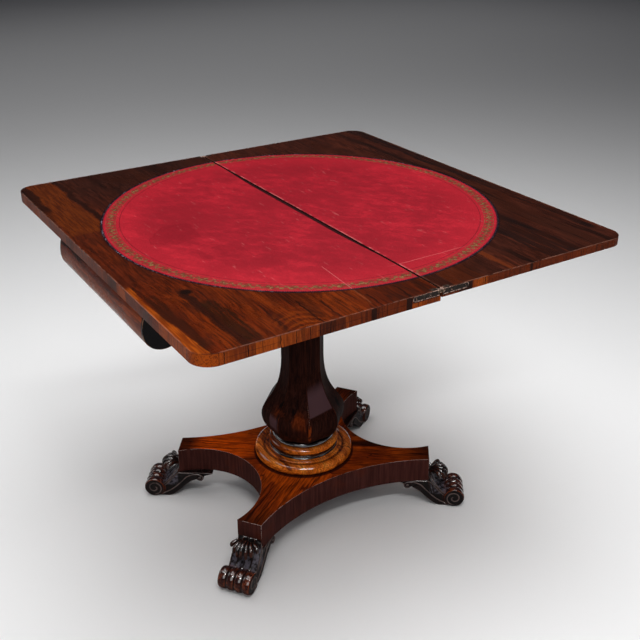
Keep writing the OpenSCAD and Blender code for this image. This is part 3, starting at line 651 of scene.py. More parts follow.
def leaf_top_finish():
    """Polished rosewood of the leaves, its figure along the fold, with the marks that age left in it, painted
    shade beside the line inlay and a painted highlight along the upper edge.
    """
    looks = bpy.context.scene.card_table_colours
    material, r, place = new_material("rosewood_leaf")
    x, y, _ = r.split(place)
    flap = r.rise(x, -0.002, 0.002)
    front = r.rise(y, 0.05, -0.42)
    ground = r.mix(r.times(front, 0.8), rgba(looks.wood_red), tint(82, 26, 5))
    ground = r.mix(r.rise(y, 0.0, 0.40), ground, tint(50, 23, 16))
    ground = r.mix(flap, ground, tint(58, 25, 16))
    gold = r.mix(r.rise(y, 0.05, 0.40), rgba(looks.wood_gold), tint(70, 32, 18))
    gold = r.mix(flap, gold, tint(80, 33, 17))
    figure = r.rosewood(place, 15.0, 230.0, 0.07, rgba(looks.wood_dark), ground, gold,
                        r.fade(front, 0.35, 0.7), 0.75)
    wave = r.noise(r.stretch(place, (4, 16, 4)), 1, 4, 0.6)
    wobble = r.times(r.less(wave, 0.5), 0.035)
    fine = r.noise(r.stretch(place, (1, 0.06, 1)), 320, 3)
    warm = r.mix(r.rise(fine, 0.38, 0.62), tint(74, 29, 9), tint(102, 44, 12))
    # orange-brown patch at the far left, sapwood beside the near corner
    patch = strip_along_y(r, place, -0.408, 0.034, 0.12, 0.47, 0.004, wobble)
    colour = r.mix(r.times(patch, 0.8), figure["Color"], warm)
    edge_black = strip_along_y(r, place, -0.444, 0.012, 0.28, 0.46, 0.006, wobble)
    colour = r.mix(r.times(edge_black, 0.85), colour, rgba(looks.wood_dark))
    black = strip_along_y(r, place, -0.364, 0.004, -0.02, 0.47, 0.003, wobble)
    colour = r.mix(r.times(black, 0.75), colour, rgba(looks.wood_dark))
    slope = r.times(r.sum("MINIMUM", r.plus(y, 0.25), 0.0), 0.055)
    sap_edge = r.plus(r.plus(x, r.times(wobble, 0.4)), slope)
    sap = r.times(r.rise(sap_edge, -0.4380, -0.4405),
                  r.times(r.rise(y, -0.165, -0.185), r.rise(y, -0.458, -0.445)))
    bright = r.mix(r.rise(fine, 0.36, 0.64), tint(112, 44, 8), tint(160, 74, 14))
    colour = r.mix(r.times(sap, 0.85), colour, bright)
    streak = strip_along_y(r, place, -0.371, 0.005, -0.455, -0.24, 0.006, r.times(wobble, 0.8))
    colour = r.mix(r.times(streak, 0.85), colour, rgba(looks.wood_dark))
    streaky = r.rise(r.noise(r.stretch(place, (1, 0.05, 1)), 130, 3, 0.65), 0.34, 0.50)
    # darker and lighter strips: middle, half width, from, to, colour, strength
    for middle, half, low, high, shade, strength in (
            (-0.351, 0.011, -0.435, -0.30, (30, 18, 8), 0.75),
            (-0.424, 0.008, -0.42, -0.24, (42, 18, 8), 0.65),
            (0.060, 0.032, -0.47, -0.38, (84, 33, 11), 0.6),
            (0.162, 0.006, -0.47, -0.375, (104, 44, 16), 0.6),
            (0.125, 0.012, -0.47, -0.40, (36, 16, 10), 0.6),
            (0.292, 0.036, -0.47, -0.20, (24, 14, 12), 0.75),
            (0.372, 0.024, -0.47, -0.10, (64, 29, 18), 0.5),
            (0.432, 0.009, -0.38, 0.45, (20, 12, 11), 0.8),
            (-0.040, 0.022, -0.45, -0.405, (26, 14, 8), 0.55)):
        strip = strip_along_y(r, place, middle, half, low, high, 0.005, wobble)
        colour = r.mix(r.times(r.times(strip, strength), streaky), colour, tint(*shade))
    knot = r.add("ShaderNodeVectorMath", {0: place, 1: (-0.366, -0.238, TABLE_TOP)}, operation="DISTANCE")
    colour = r.mix(r.rise(knot.outputs["Value"], 0.014, 0.006), colour, tint(26, 12, 8))
    # flame figure by the front edge
    flame_x = -0.262
    across = r.less(x, flame_x)
    flame = r.plus(r.times(r.times(across, across), 9.0), r.times(y, 0.55))
    ripple = r.sum("SINE", r.plus(r.times(flame, 620.0), r.times(wave, 30.0)))
    flame_mask = r.times(r.near(x, flame_x, 0.02, 0.035), r.rise(y, -0.37, -0.43))
    colour = r.mix(r.times(r.times(r.rise(ripple, 0.3, 0.9), flame_mask), 0.3), colour, tint(58, 22, 7))
    colour = r.mix(r.times(r.times(r.rise(ripple, -0.1, -0.9), flame_mask), 0.25), colour, tint(150, 66, 12))
    # broad darker and redder places, and a few thin black lines near the front
    cloud = r.noise(r.stretch(place, (1, 0.35, 1)), 16, 3, 0.6)
    colour = r.mix(r.times(r.rise(cloud, 0.50, 0.64), 0.5), colour, tint(46, 17, 7))
    for middle, low, high, strength in (
            (-0.292, -0.44, -0.35, 0.6), (-0.232, -0.455, -0.37, 0.8), (-0.196, -0.455, -0.39, 0.75),
            (-0.118, -0.455, -0.41, 0.85), (-0.062, -0.455, -0.405, 0.85), (0.094, -0.44, -0.40, 0.5)):
        line = strip_along_y(r, place, middle, 0.0009, low, high, 0.0014, r.times(wobble, 0.7))
        colour = r.mix(r.times(line, strength), colour, tint(20, 9, 6))
    # pale shrinkage crack near the front of the lower leaf
    crack = old_crack(r, x, y, 0.0006, -0.404, 0.030, 0.008)
    colour = r.mix(r.times(crack, 0.3), colour, tint(150, 96, 70))
    # dark band on the wood beside the line inlay, dirt with painted shade in the joint; pale upper edge,
    # rubbed and with a painted highlight
    radius = r.reach(x, y)
    colour = r.mix(r.times(r.rise(radius, 0.4030, 0.4000), 0.8), colour, tint(18, 11, 18))
    brink = r.most(r.less(r.size(x), HALF_DEPTH), r.less(r.size(y), HALF_LENGTH))
    wear_and_highlight = r.most(r.mark("arris"), r.times(r.rise(brink, -0.0024, -0.0012), 0.55))
    wear_and_highlight = r.times(wear_and_highlight, r.rise(r.noise(place, 70, 3, 0.6), 0.34, 0.56))
    wear_and_highlight = r.times(wear_and_highlight, r.rise(r.size(x), 0.002, 0.004))
    colour = r.mix(r.times(wear_and_highlight, 0.6), colour, tint(168, 112, 92))
    polish = r.polish(place, 0.24, 0.36)
    height = r.less(figure["Height"], r.times(crack, 2.0))
    surface(r, colour, polish["Roughness"], height, 0.08, 0.2 * MM, specular=0.09)
    return material


def plate_distance(recipe, place):
    """How far a point on an end of the leaves lies from the middle line of the hinge plate there."""
    x, _, z = recipe.split(place)
    past = recipe.most(recipe.less(recipe.size(x), PLATE_STRAIGHT), 0.0)
    high = recipe.less(z, PLATE_HEIGHT)
    return recipe.reach(past, high)


def leaf_edge_finish():
    """Cross-banding on the edges: short blocks with upright grain, joints, shrinkage cracks."""
    material, r, place = new_material("rosewood_cross_banding")
    x, y, z = r.split(place)
    facing = r.facing()
    side = r.rise(r.less(r.size(facing[0]), r.size(facing[1])), -0.05, 0.05)
    run = r.plus(r.fade(side, x, r.plus(y, 3.0)), r.times(r.rise(y, -0.1, 0.1), 7.0))
    blocks_per_metre, cracks_per_metre = 22.0, 9.0
    blocks = r.add("ShaderNodeTexVoronoi", {"W": run, "Scale": blocks_per_metre}, voronoi_dimensions="1D")
    shade = r.split(blocks.outputs["Color"])[0]
    joint, split = (r.add("ShaderNodeTexVoronoi", {"W": run, "Scale": scale}, voronoi_dimensions="1D",
                          feature="DISTANCE_TO_EDGE").outputs["Distance"]
                    for scale in (blocks_per_metre, cracks_per_metre))
    grain = r.noise(r.vector(run, r.times(z, 0.07), shade), 420, 3, 0.65)
    lines = r.rise(r.noise(r.vector(run, r.times(z, 0.04), 4.0), 300, 3, 0.7), 0.55, 0.64)
    broad = r.noise(r.vector(run, r.times(z, 0.3), 0.0), 14, 3)
    front = r.times(r.rise(y, -0.25, -0.40), r.rise(x, 0.05, -0.08))
    flap = r.rise(x, 0.06, 0.08)
    tone = r.times(r.fade(flap, shade, 0.45), 0.30)
    tone = r.plus(r.plus(tone, r.times(grain, 0.50)), r.times(broad, 0.40))
    tone = r.plus(tone, r.plus(0.02, r.times(front, 0.15)))
    # painted light: the left end of the banding is made lighter
    tone = r.plus(tone, r.times(r.rise(x, -0.447, -0.4485), 0.08))
    tone = r.plus(tone, r.times(flap, 0.06))
    in_front = r.rise(y, -0.3, -0.4)
    under = r.times(r.rise(z, 0.6975, 0.6965), r.times(r.near(x, -0.03, 0.03, 0.002), in_front))
    tone = r.plus(tone, r.times(under, 0.2))
    # dark blocks in the front edge of the lower leaf, and beside the hinge
    for middle, half, depth in ((-0.2165, 0.0235, 0.24), (-0.138, 0.004, 0.45), (-0.067, 0.005, 0.5),
                                (0.0635, 0.002, 0.5), (0.086, 0.016, -0.25), (0.205, 0.002, 0.4)):
        block = r.times(r.near(x, middle, half, 0.0015), in_front)
        tone = r.less(tone, r.times(block, depth))
    colour = r.mix(r.rise(tone, 0.42, 0.70), tint(42, 17, 8), tint(106, 40, 10))
    colour = r.mix(r.rise(tone, 0.68, 1.0), colour, tint(164, 74, 17))
    colour = r.mix(r.times(lines, 0.6), colour, tint(34, 14, 7))
    # corner nearest the viewer is the brightest, and speckled
    corner = r.times(r.rise(y, -0.40, -0.45), r.rise(x, -0.38, -0.44))
    speck = r.rise(r.noise(place, 420, 3, 0.7), 0.50, 0.58)
    spotted = r.mix(r.times(speck, 0.7), tint(190, 84, 13), tint(80, 31, 9))
    colour = r.mix(r.times(corner, 0.75), colour, spotted)
    crack = r.times(r.rise(split, 0.010, 0.003), r.rise(broad, 0.35, 0.55))
    bow = r.wander(0.004, place, 120, 2)
    for middle in (-0.407, -0.367, -0.311, -0.240, -0.283, -0.258):
        opened = r.near(r.plus(x, bow), middle, 0.0004, 0.0007)
        crack = r.most(crack, r.times(opened, in_front))
    colour = r.mix(r.times(r.rise(joint, 0.02, 0.004), 0.65), colour, tint(30, 13, 9))
    colour = r.mix(r.times(crack, 0.9), colour, tint(12, 7, 6))
    shrunk = r.times(r.near(z, 0.6985, 0.0003, 0.0004), r.rise(r.noise(place, 14, 2), 0.42, 0.55))
    colour = r.mix(r.times(shrunk, 0.5), colour, tint(24, 11, 8))
    flecks = r.rise(r.noise(place, 330, 3, 0.65), 0.56, 0.64)
    colour = r.mix(r.times(flecks, r.fade(flap, 0.25, 0.6)), colour, tint(36, 15, 8))
    beside = r.near(plate_distance(r, place), 0.0060, 0.0006, 0.0004)
    beside = r.times(beside, r.rise(r.size(y), 0.455, 0.4565))
    colour = r.mix(r.times(beside, 0.9), colour, tint(14, 9, 8))
    # pale broken line on the rounded top edges: wear, and a painted highlight
    wear_and_highlight = r.arris_wear_and_highlight(place, 90, 3, 0.6, 0.36, 0.56)
    colour = r.mix(r.times(wear_and_highlight, 0.6), colour, tint(170, 116, 88))
    polish = r.polish(place, 0.34, 0.50)
    height = r.less(grain, r.plus(r.times(crack, 3.0), r.times(shrunk, 1.5)))
    surface(r, colour, polish["Roughness"], height, 0.2, 0.25 * MM, specular=0.06)
    return material


def leather_finish():
    """Dyed leather with a tooled border, handled in the middle, with a painted shadow along the fold."""
    looks = bpy.context.scene.card_table_colours
    material, r, place = new_material("tooled_leather")
    x, y, _ = r.split(place)
    radius = r.reach(x, y)
    turn = r.heading(x, y)
    cloud = r.noise(place, 7.5, 5, 0.62)
    slant = r.vector(r.plus(x, r.times(y, 0.6)), r.times(r.less(y, r.times(x, 0.6)), 0.42), 0.0)
    smears = r.noise(slant, 40, 5, 0.7)
    flecks = r.noise(place, 170, 4, 0.65)
    tone = r.plus(r.plus(r.times(cloud, 0.40), r.times(smears, 0.42)), r.times(flecks, 0.18))
    rim = r.rise(radius, 0.27, 0.375)
    colour = r.mix(r.rise(tone, 0.42, 0.58), rgba(looks.leather_dark), rgba(looks.leather))
    fresh = r.plus(r.times(rim, 0.45), r.times(r.rise(tone, 0.50, 0.62), 0.5))
    colour = r.mix(fresh, colour, rgba(looks.leather_bright))
    # two old spills with crisp outlines, and a fainter one on the flap
    wavy = r.plus(r.wander(0.016, place, 42, 3, 0.55), r.wander(0.004, place, 160, 2))
    for corners, strength in (
            (((-0.324, 0.016), (-0.279, 0.064), (-0.228, 0.059), (-0.235, -0.025), (-0.291, -0.034),
              (-0.331, -0.010)), 0.55),
            (((-0.272, -0.086), (-0.235, -0.067), (-0.191, -0.105), (-0.198, -0.158), (-0.247, -0.156),
              (-0.280, -0.120)), 0.42),
            (((0.150, 0.090), (0.190, 0.130), (0.245, 0.120), (0.240, 0.060), (0.180, 0.050)), 0.12)):
        away = outside_patch(r, x, y, corners, wavy)
        stain = r.times(r.rise(away, 0.0012, -0.0012), strength * 0.5)
        ring = r.times(r.near(away, -0.0006, 0.0004, 0.0014), strength * 0.9)
        colour = r.mix(r.most(stain, ring), colour, tint(112, 12, 24))
    # tooled border: a winding stem with curls and dots between two thin lines
    phase = r.times(turn, STEMS / (2 * math.pi))
    u = r.less(r.sum("FRACT", phase), 0.5)
    v = r.times(r.less(radius, BORDER), 1 / BORDER_HALF)
    stem_v = r.times(r.sum("SINE", r.times(phase, 2 * math.pi)), 0.42)
    stem = r.near(r.less(v, stem_v), 0.0, 0.10, 0.12)
    marks = stem
    for cu, cv in ((-0.25, 0.30), (0.25, -0.30)):
        du = r.times(r.less(u, cu), 2.1)
        dv = r.less(v, cv)
        away = r.reach(du, dv)
        curl = r.most(r.near(away, 0.42, 0.07, 0.10), r.rise(away, 0.16, 0.06))
        marks = r.most(marks, curl)
    marks = r.times(marks, r.near(v, 0.0, 0.92, 0.06))
    lines = r.most(*(r.near(radius, BORDER + side * 0.0088, 0.00045, 0.0004) for side in (1, -1)))
    gilt = r.most(marks, r.times(lines, 0.8))
    leaf = r.noise(place, 170, 3, 0.65)
    wide = r.times(r.less(r.sum("FRACT", r.times(turn, ROSETTES / (2 * math.pi))), 0.5), 4.4)
    rosette = r.rise(r.reach(wide, v), 1.0, 0.6)
    colour = r.mix(r.times(r.near(radius, BORDER, 0.0092, 0.001), 0.22), colour, tint(92, 34, 30))
    colour = r.mix(r.times(rosette, 0.6), colour, tint(88, 54, 32))
    colour = r.mix(r.times(gilt, 0.8), colour, tint(84, 58, 36))
    gilt = r.times(gilt, r.times(r.rise(leaf, 0.44, 0.60), r.fade(rosette, 0.65, 1.0)))
    colour = r.mix(r.times(gilt, 0.9), colour, rgba(looks.tooling))
    fillet = r.near(radius, 0.3636, 0.0005, 0.0006)
    colour = r.mix(r.times(fillet, 0.6), colour, tint(74, 20, 24))
    teeth = r.times(r.sum("SINE", r.times(turn, TEETH)), 0.0010)
    outer = r.rise(r.plus(radius, teeth), LEATHER_EDGE - 0.0026, LEATHER_EDGE - 0.0012)
    colour = r.mix(r.times(outer, 0.8), colour, tint(48, 16, 28))
    # shrinkage crack through the lower leaf, crease across the flap, rubbed pale lip beside the fold, and a
    # painted shadow along the fold
    crack = r.times(old_crack(r, x, y, 0.0007, -0.33, 0.055, 0.01), 0.7)
    wander = r.wander(0.006, place, 30, 2)
    crease = r.near(r.plus(y, wander), -0.333, 0.0005, 0.0009)
    crease = r.times(r.times(crease, r.near(x, 0.07, 0.06, 0.04)), 0.55)
    wear_and_highlight = r.times(r.rise(x, 0.0058, 0.0040), r.rise(x, 0.0018, 0.0028))
    wear_and_highlight = r.times(wear_and_highlight, r.rise(r.noise(place, 60, 3), 0.36, 0.6))
    scratch = r.noise(r.stretch(place, (1.0, 0.12, 1.0)), 240, 2, 0.5)
    scratch = r.times(r.rise(scratch, 0.68, 0.74), 0.35)
    pale = r.most(r.most(crack, crease), r.most(r.times(wear_and_highlight, 0.9), scratch))
    colour = r.mix(r.times(pale, 0.6), colour, tint(214, 120, 118))
    # painted shadow along the fold, widest on the lower leaf in the middle of its length
    middle = r.near(y, 0.02, 0.16, 0.18)
    lip = r.plus(x, r.fade(middle, 0.0024, 0.0085))
    painted_fold_shadow = r.times(r.rise(lip, -0.0012, 0.0002), r.rise(x, 0.0030, 0.0018))
    colour = r.mix(r.times(painted_fold_shadow, r.less(0.95, r.times(wear_and_highlight, 0.6))), colour, tint(24, 8, 10))
    skin = r.add("ShaderNodeTexVoronoi", {"Vector": place, "Scale": 900.0}).outputs["Distance"]
    height = r.plus(r.times(skin, 0.35), r.times(flecks, 0.5))
    height = r.less(height, r.plus(r.times(gilt, 0.9), r.plus(r.times(fillet, 0.9), r.times(crease, 1.5))))
    rough = r.fade(r.rise(tone, 0.4, 0.65), 0.42, 0.55)
    rough = r.fade(gilt, rough, 0.33)
    surface(r, colour, rough, height, 0.25, 0.3 * MM, specular=0.12)
    return material


def line_inlay_finish():
    """Thin dark line round the leather, with pale grey-blue spots: a few all round, many on its far and left
    sides.
    """
    material, r, place = new_material("dark_line")
    x, y, _ = r.split(place)
    far = r.rise(y, -0.05, 0.30)
    spots = r.rise(r.noise(place, 260, 2, 0.6), 0.52, 0.60)
    edge = r.rise(r.noise(place, 22, 2), 0.42, 0.58)
    left = r.rise(x, -0.18, -0.34)
    pale = r.times(spots, r.plus(0.12, r.times(r.times(edge, r.most(far, left)), 0.85)))
    colour = r.mix(r.times(pale, 0.75), tint(22, 15, 24), tint(140, 136, 152))
    surface(r, colour, 0.4, spots, 0.2, 0.2 * MM, specular=0.15)
    return material


def platform_finish():
    """Platform: figure running out along the arms on top, dark purple-brown sides."""
    material, r, place = new_material("rosewood_platform")
    x, y, z = r.split(place)
    along, across = arm_lengths(r, x, y)
    quarter = r.plus(r.times(r.sum("SIGN", x), 1.7), r.times(r.sum("SIGN", y), 0.9))
    grain = r.vector(r.plus(across, quarter), r.times(along, 1.3), 0.0)
    drift = r.wander(0.05, r.vector(along, quarter), 9, 3)
    far = r.rise(along, 0.19, 0.30)
    bright = r.rise(r.noise(r.vector(r.plus(along, quarter), across, 2.0), 9, 3, 0.6), 0.40, 0.62)
    ground = r.mix(far, r.mix(bright, tint(124, 45, 12), tint(174, 71, 12)), tint(72, 28, 13))
    # painted light: the inner part of the left arm's top made bright orange
    left = r.times(r.rise(x, -0.06, -0.14), r.rise(y, 0.02, 0.08))
    ground = r.mix(r.times(left, r.rise(along, 0.272, 0.225)), ground, tint(212, 80, 5))
    figure = r.rosewood(grain, 20.0, 240.0, 0.03, tint(50, 19, 8), ground, tint(140, 58, 10),
                        r.fade(far, 0.5, 0.15), 0.9)
    colour = figure["Color"]
    for middle, strength in ((-0.008, 0.85), (0.009, 0.8), (0.016, 0.6), (-0.021, 0.5)):
        line = r.near(r.plus(across, drift), middle, 0.0007, 0.0010)
        line = r.times(line, r.near(along, 0.22, 0.055, 0.03))
        colour = r.mix(r.times(line, strength), colour, tint(26, 11, 7))
    # painted shadow on the platform round the foot of the collar
    radius = r.reach(x, y)
    colour = r.mix(r.times(r.rise(radius, 0.1165, 0.1135), 0.85), colour, tint(20, 12, 14))
    facing = r.facing()
    upright = r.rise(facing[2], 0.6, 0.2)
    side_grain = r.noise(r.vector(x, y, r.times(z, 0.06)), 200, 3, 0.6)
    side = r.mix(r.rise(side_grain, 0.30, 0.75), tint(54, 27, 23), tint(76, 39, 34))
    red = r.rise(r.noise(place, 16, 3, 0.6), 0.52, 0.66)
    side = r.mix(r.times(red, 0.35), side, tint(84, 34, 18))
    colour = r.mix(upright, colour, side)
    # pale top arrises toward the arm ends: painted highlight, with some wear
    wear_and_highlight = r.arris_wear_and_highlight(place, 60, 3, 0.6, 0.38, 0.48)
    wear_and_highlight = r.times(wear_and_highlight, r.fade(r.rise(along, 0.17, 0.22), 0.5, 1.0))
    wear_and_highlight = r.times(wear_and_highlight, r.fade(r.rise(z, 0.08, 0.11), 0.2, 1.0))
    colour = r.mix(wear_and_highlight, colour, tint(232, 204, 194))
    polish = r.polish(place, 0.26, 0.42)
    rough = r.fade(upright, polish["Roughness"], 0.7)
    surface(r, colour, rough, figure["Height"], 0.08, 0.2 * MM, specular=0.03)
    return material


def column_finish():
    """Column: almost black above, orange-brown patches low on the belly, light on its arrises, a painted
    reflection on two facets and painted highlight dots on the front arris.
    """
    material, r, place = new_material("rosewood_column")
    x, y, z = r.split(place)
    turn = r.times(r.heading(x, y), 180 / math.pi)
    low = r.times(r.rise(z, 0.280, 0.255), r.fade(r.rise(z, 0.225, 0.238), 0.25, 1.0))
    low = r.times(low, r.rise(turn, -109.0, -114.0))
    patchy = r.rise(r.noise(r.stretch(place, (1, 1, 0.4)), 30, 4, 0.6), 0.44, 0.62)
    glow = r.times(low, patchy)
    ground = r.mix(glow, tint(40, 18, 13), tint(96, 38, 14))
    light = r.mix(low, tint(46, 22, 16), tint(74, 31, 14))
    figure = r.rosewood(r.vector(x, z, y), 24.0, 220.0, 0.02, tint(13, 7, 7), ground, light, 0.5, 0.5)
    # painted reflection on two facets, with a slanting lower edge
    slant = r.less(z, r.times(r.plus(turn, 112.5), 0.00016))
    painted_reflection = r.times(r.rise(slant, 0.2565, 0.2605), r.rise(slant, 0.325, 0.292))
    painted_reflection = r.times(r.near(turn, -90.0, 20.0, 2.0), painted_reflection)
    side = r.times(r.near(turn, -178.0, 14.0, 8.0), r.near(z, 0.232, 0.009, 0.012))
    painted_reflection = r.most(painted_reflection, r.times(side, 0.8))
    colour = r.mix(r.times(painted_reflection, 0.8), figure["Color"], tint(84, 60, 64))
    arris = r.mark("arris")
    broken = r.rise(r.noise(r.stretch(place, (1, 1, 0.5)), 90, 3, 0.6), 0.40, 0.58)
    wear_and_highlight = r.times(r.times(arris, broken), r.fade(r.rise(z, 0.30, 0.25), 0.2, 0.9))
    glowing = r.times(r.near(turn, -112.0, 1.2, 1.6), r.near(z, 0.222, 0.016, 0.010))
    wear_and_highlight = r.most(wear_and_highlight, r.times(r.times(glowing, broken), 0.6))
    colour = r.mix(wear_and_highlight, colour, tint(150, 64, 22))
    # painted highlight: pale dots along the front arris of the belly
    dots = r.rise(r.noise(r.vector(0.0, 0.0, z), 420, 1), 0.50, 0.56)
    here = r.times(r.near(turn, -112.5, 6.0, 2.0), r.near(z, 0.262, 0.018, 0.004))
    dots = r.times(r.times(dots, arris), here)
    colour = r.mix(r.times(dots, 0.8), colour, tint(206, 190, 186))
    polish = r.polish(place, 0.42, 0.55)
    surface(r, colour, polish["Roughness"], figure["Height"], 0.06, 0.2 * MM, specular=0.01)
    return material


def frieze_finish():
    """Rails and rolled ends of the frieze, figured from front to back."""
    material, r, place = new_material("rosewood_frieze")
    z = r.split(place)[2]
    figure = r.rosewood(place, 30.0, 200.0, 0.03, tint(24, 13, 12), tint(92, 31, 13), tint(152, 66, 16),
                        0.6, 0.7)
    middle = r.near(r.plus(z, r.wander(0.03, place, 12, 3)), 0.634, 0.006, 0.012)
    colour = r.mix(r.times(middle, 0.55), figure["Color"], tint(150, 68, 12))
    polish = r.polish(place, 0.2, 0.34)
    surface(r, colour, polish["Roughness"], figure["Height"], 0.06, 0.2 * MM, specular=0.04)
    return material


def turned_finish():
    """Honey-coloured turned rings with dark flecks."""
    looks = bpy.context.scene.card_table_colours
    material, r, place = new_material("turned_rings")
    figure = r.rosewood(place, 34.0, 260.0, 0.02, tint(116, 48, 12), rgba(looks.turned),
                        tint(244, 148, 54), 0.8, 0.5)
    flecks = r.rise(r.noise(r.stretch(place, (1, 1, 1.6)), 260, 3, 0.7), 0.58, 0.66)
    colour = r.mix(r.times(flecks, 0.8), figure["Color"], tint(52, 24, 14))
    proud = r.mark("proud")
    hollow = r.rise(proud, -0.01, -0.12)
    colour = r.mix(r.times(hollow, 0.7), colour, tint(44, 20, 14))
    x, y, z = r.split(place)
    turn = r.plus(r.heading(x, y), r.wander(0.06, place, 200, 2))
    split = r.times(r.near(turn, math.radians(-45.5), 0.012, 0.010), r.rise(z, 0.1475, 0.1465))
    colour = r.mix(r.times(split, 0.9), colour, tint(20, 10, 8))
    polish = r.polish(place, 0.08, 0.14)
    height = r.less(flecks, r.times(split, 3.0))
    level = r.rise(r.facing()[2], 0.58, 0.72)
    rough = r.fade(level, 0.6, polish["Roughness"])
    surface(r, colour, rough, height, 0.15, 0.15 * MM, specular=0.01,
            coat=level, coat_rough=0.09, coat_ior=1.95)
    return material


def ebonised_finish(name, gloss):
    """Black polish, with brown where it has thinned."""
    looks = bpy.context.scene.card_table_colours
    material, r, place = new_material(name)
    thin = r.rise(r.noise(place, 46, 4, 0.6), 0.56, 0.72)
    colour = r.mix(r.times(thin, 0.4), rgba(looks.ebony), tint(34, 22, 18))
    # pale rim on the rounded edges: wear, and a painted highlight
    wear_and_highlight = r.arris_wear_and_highlight(place, 60, 2, 0.5, 0.35, 0.55)
    colour = r.mix(r.times(wear_and_highlight, 0.7), colour, tint(150, 108, 84))
    polish = r.polish(place, 0.10, 0.22)
    surface(r, colour, polish["Roughness"], polish["Height"], 0.06, 0.3 * MM, specular=gloss,
            coat=1.0 if gloss > 0.1 else 0.0, coat_rough=0.12, coat_ior=1.9)
    return material


def carved_finish():
    """Feet: dark in the hollows, rubbed to red-brown wood on the high places."""
    looks = bpy.context.scene.card_table_colours
    material, r, place = new_material("carved_rosewood")
    proud = r.mark("proud")
    rubbed = r.group("rubbed places", {"Proud": proud, "Vector": place, "Start": 0.012, "Full": 0.045,
                                       "Grain": 90.0})["Mask"]
    x, y, z = r.split(place)
    along, across = arm_lengths(r, x, y)
    across = r.size(across)
    out = r.less(along, ARM_REACH + ROLL[0] * MM)
    up = r.less(z, ROLL[1] * MM)
    rim = r.reach(out, up)
    # raised lines on the two sides are pale grey, rubbed and with a painted highlight; the reeds of the roll
    # red-brown
    line = r.most(r.times(r.rise(across, 0.0304, 0.0312), r.rise(rim, 0.0235, 0.0255)),
                 r.times(r.rise(across, 0.0345, 0.0350), r.rise(rim, 0.0195, 0.0180)))
    roll = r.times(r.rise(rim, 0.0275, 0.0255), r.rise(across, 0.0356, 0.0350))
    crest = r.times(r.rise(rim, 0.0205, 0.0226), r.rise(r.noise(place, 64, 3, 0.6), 0.45, 0.62))
    crest = r.times(crest, r.fade(r.rise(z, 0.014, 0.032), 0.35, 0.85))
    shell = r.times(rubbed, r.fade(r.rise(z, 0.055, 0.062), 0.06, 0.3))
    rims = r.times(r.rise(rim, 0.0195, 0.0210), r.rise(z, 0.018, 0.030))
    rims = r.times(r.near(across, 0.0346, 0.0007, 0.0006), rims)
    crest = r.most(crest, r.times(rims, r.rise(r.noise(place, 50, 2), 0.36, 0.5)))
    rubbed = r.fade(roll, r.times(shell, r.less(1.0, line)), crest)
    line = r.times(line, r.rise(proud, 0.03, 0.08))
    streaks = r.noise(r.stretch(place, (1, 1, 0.4)), 90, 4, 0.6)
    dark = r.mix(r.rise(streaks, 0.4, 0.65), rgba(looks.carved), tint(28, 18, 17))
    dark = r.mix(r.times(r.times(roll, r.rise(rim, 0.0200, 0.0226)), 0.6), dark, tint(58, 22, 17))
    colour = r.mix(r.times(rubbed, 0.85), dark, rgba(looks.rubbed))
    line = r.times(line, r.fade(r.rise(streaks, 0.35, 0.55), 0.25, 0.6))
    colour = r.mix(line, colour, tint(122, 104, 100))
    # painted grey sheen in the flutes of the neck; darker in the grooves
    reach = r.reach(x, y)
    neck = r.times(r.near(z, 0.052, 0.014, 0.010), r.near(reach, 0.318, 0.018, 0.006))
    neck = r.times(r.times(neck, r.rise(proud, 0.02, -0.01)), r.rise(r.noise(place, 130, 3, 0.6), 0.36, 0.6))
    colour = r.mix(r.times(neck, 0.7), colour, tint(116, 110, 122))
    groove_darkening = r.times(r.rise(proud, -0.02, -0.07), r.less(1.0, neck))
    colour = r.mix(r.times(groove_darkening, 0.8), colour, tint(9, 7, 7))
    rough = r.fade(r.rise(proud, -0.01, 0.02), 0.36, 0.13)
    facing = r.facing()[2]
    flank = r.most(r.rise(across, 0.0300, 0.0308), r.rise(facing, 0.05, -0.15))
    flank = r.times(flank, r.less(1.0, r.times(roll, r.rise(facing, -0.1, 0.1))))
    rough = r.fade(flank, r.plus(rough, r.wander(0.10, place, 60, 2)), 0.62)
    shiny = r.most(r.times(roll, r.rise(across, 0.0348, 0.0342)), r.rise(z, 0.052, 0.060))
    shiny = r.times(r.times(shiny, r.rise(proud, -0.01, 0.01)), r.rise(facing, 0.40, 0.60))
    surface(r, colour, rough, streaks, 0.1, 0.2 * MM, specular=0.12,
            coat=shiny, coat_rough=0.13, coat_ior=2.2)
    return material


def plain_wood_finish(name, dark, light):
    """Unpolished wood of the parts that don't show."""
    material, r, place = new_material(name)
    middle = r.mix(0.5, rgba(dark), rgba(light))
    figure = r.rosewood(place, 20.0, 150.0, 0.03, rgba(dark), middle, rgba(light), 0.8, 0.2)
    x, _, z = r.split(place)
    # painted shade in the fold gap, on the faces beside the fold
    fold_gap_shade = r.times(r.near(x, 0.0, 0.004, 0.002), r.rise(z, 0.672, 0.676))
    colour = r.mix(r.times(fold_gap_shade, 0.95), figure["Color"], tint(14, 8, 7))
    surface(r, colour, 0.55, figure["Height"], 0.25, 0.3 * MM, specular=0.2)
    return material


def baize_finish():
    """Green baize with a short nap."""
    material, r, place = new_material("green_baize")
    nap = r.noise(place, 1400, 2)
    patch = r.noise(place, 18, 3)
    colour = r.mix(patch, tint(30, 74, 48), tint(52, 106, 68))
    surface(r, colour, 0.9, nap, 0.4, 0.4 * MM, sheen=0.3, specular=0.2)
    return material


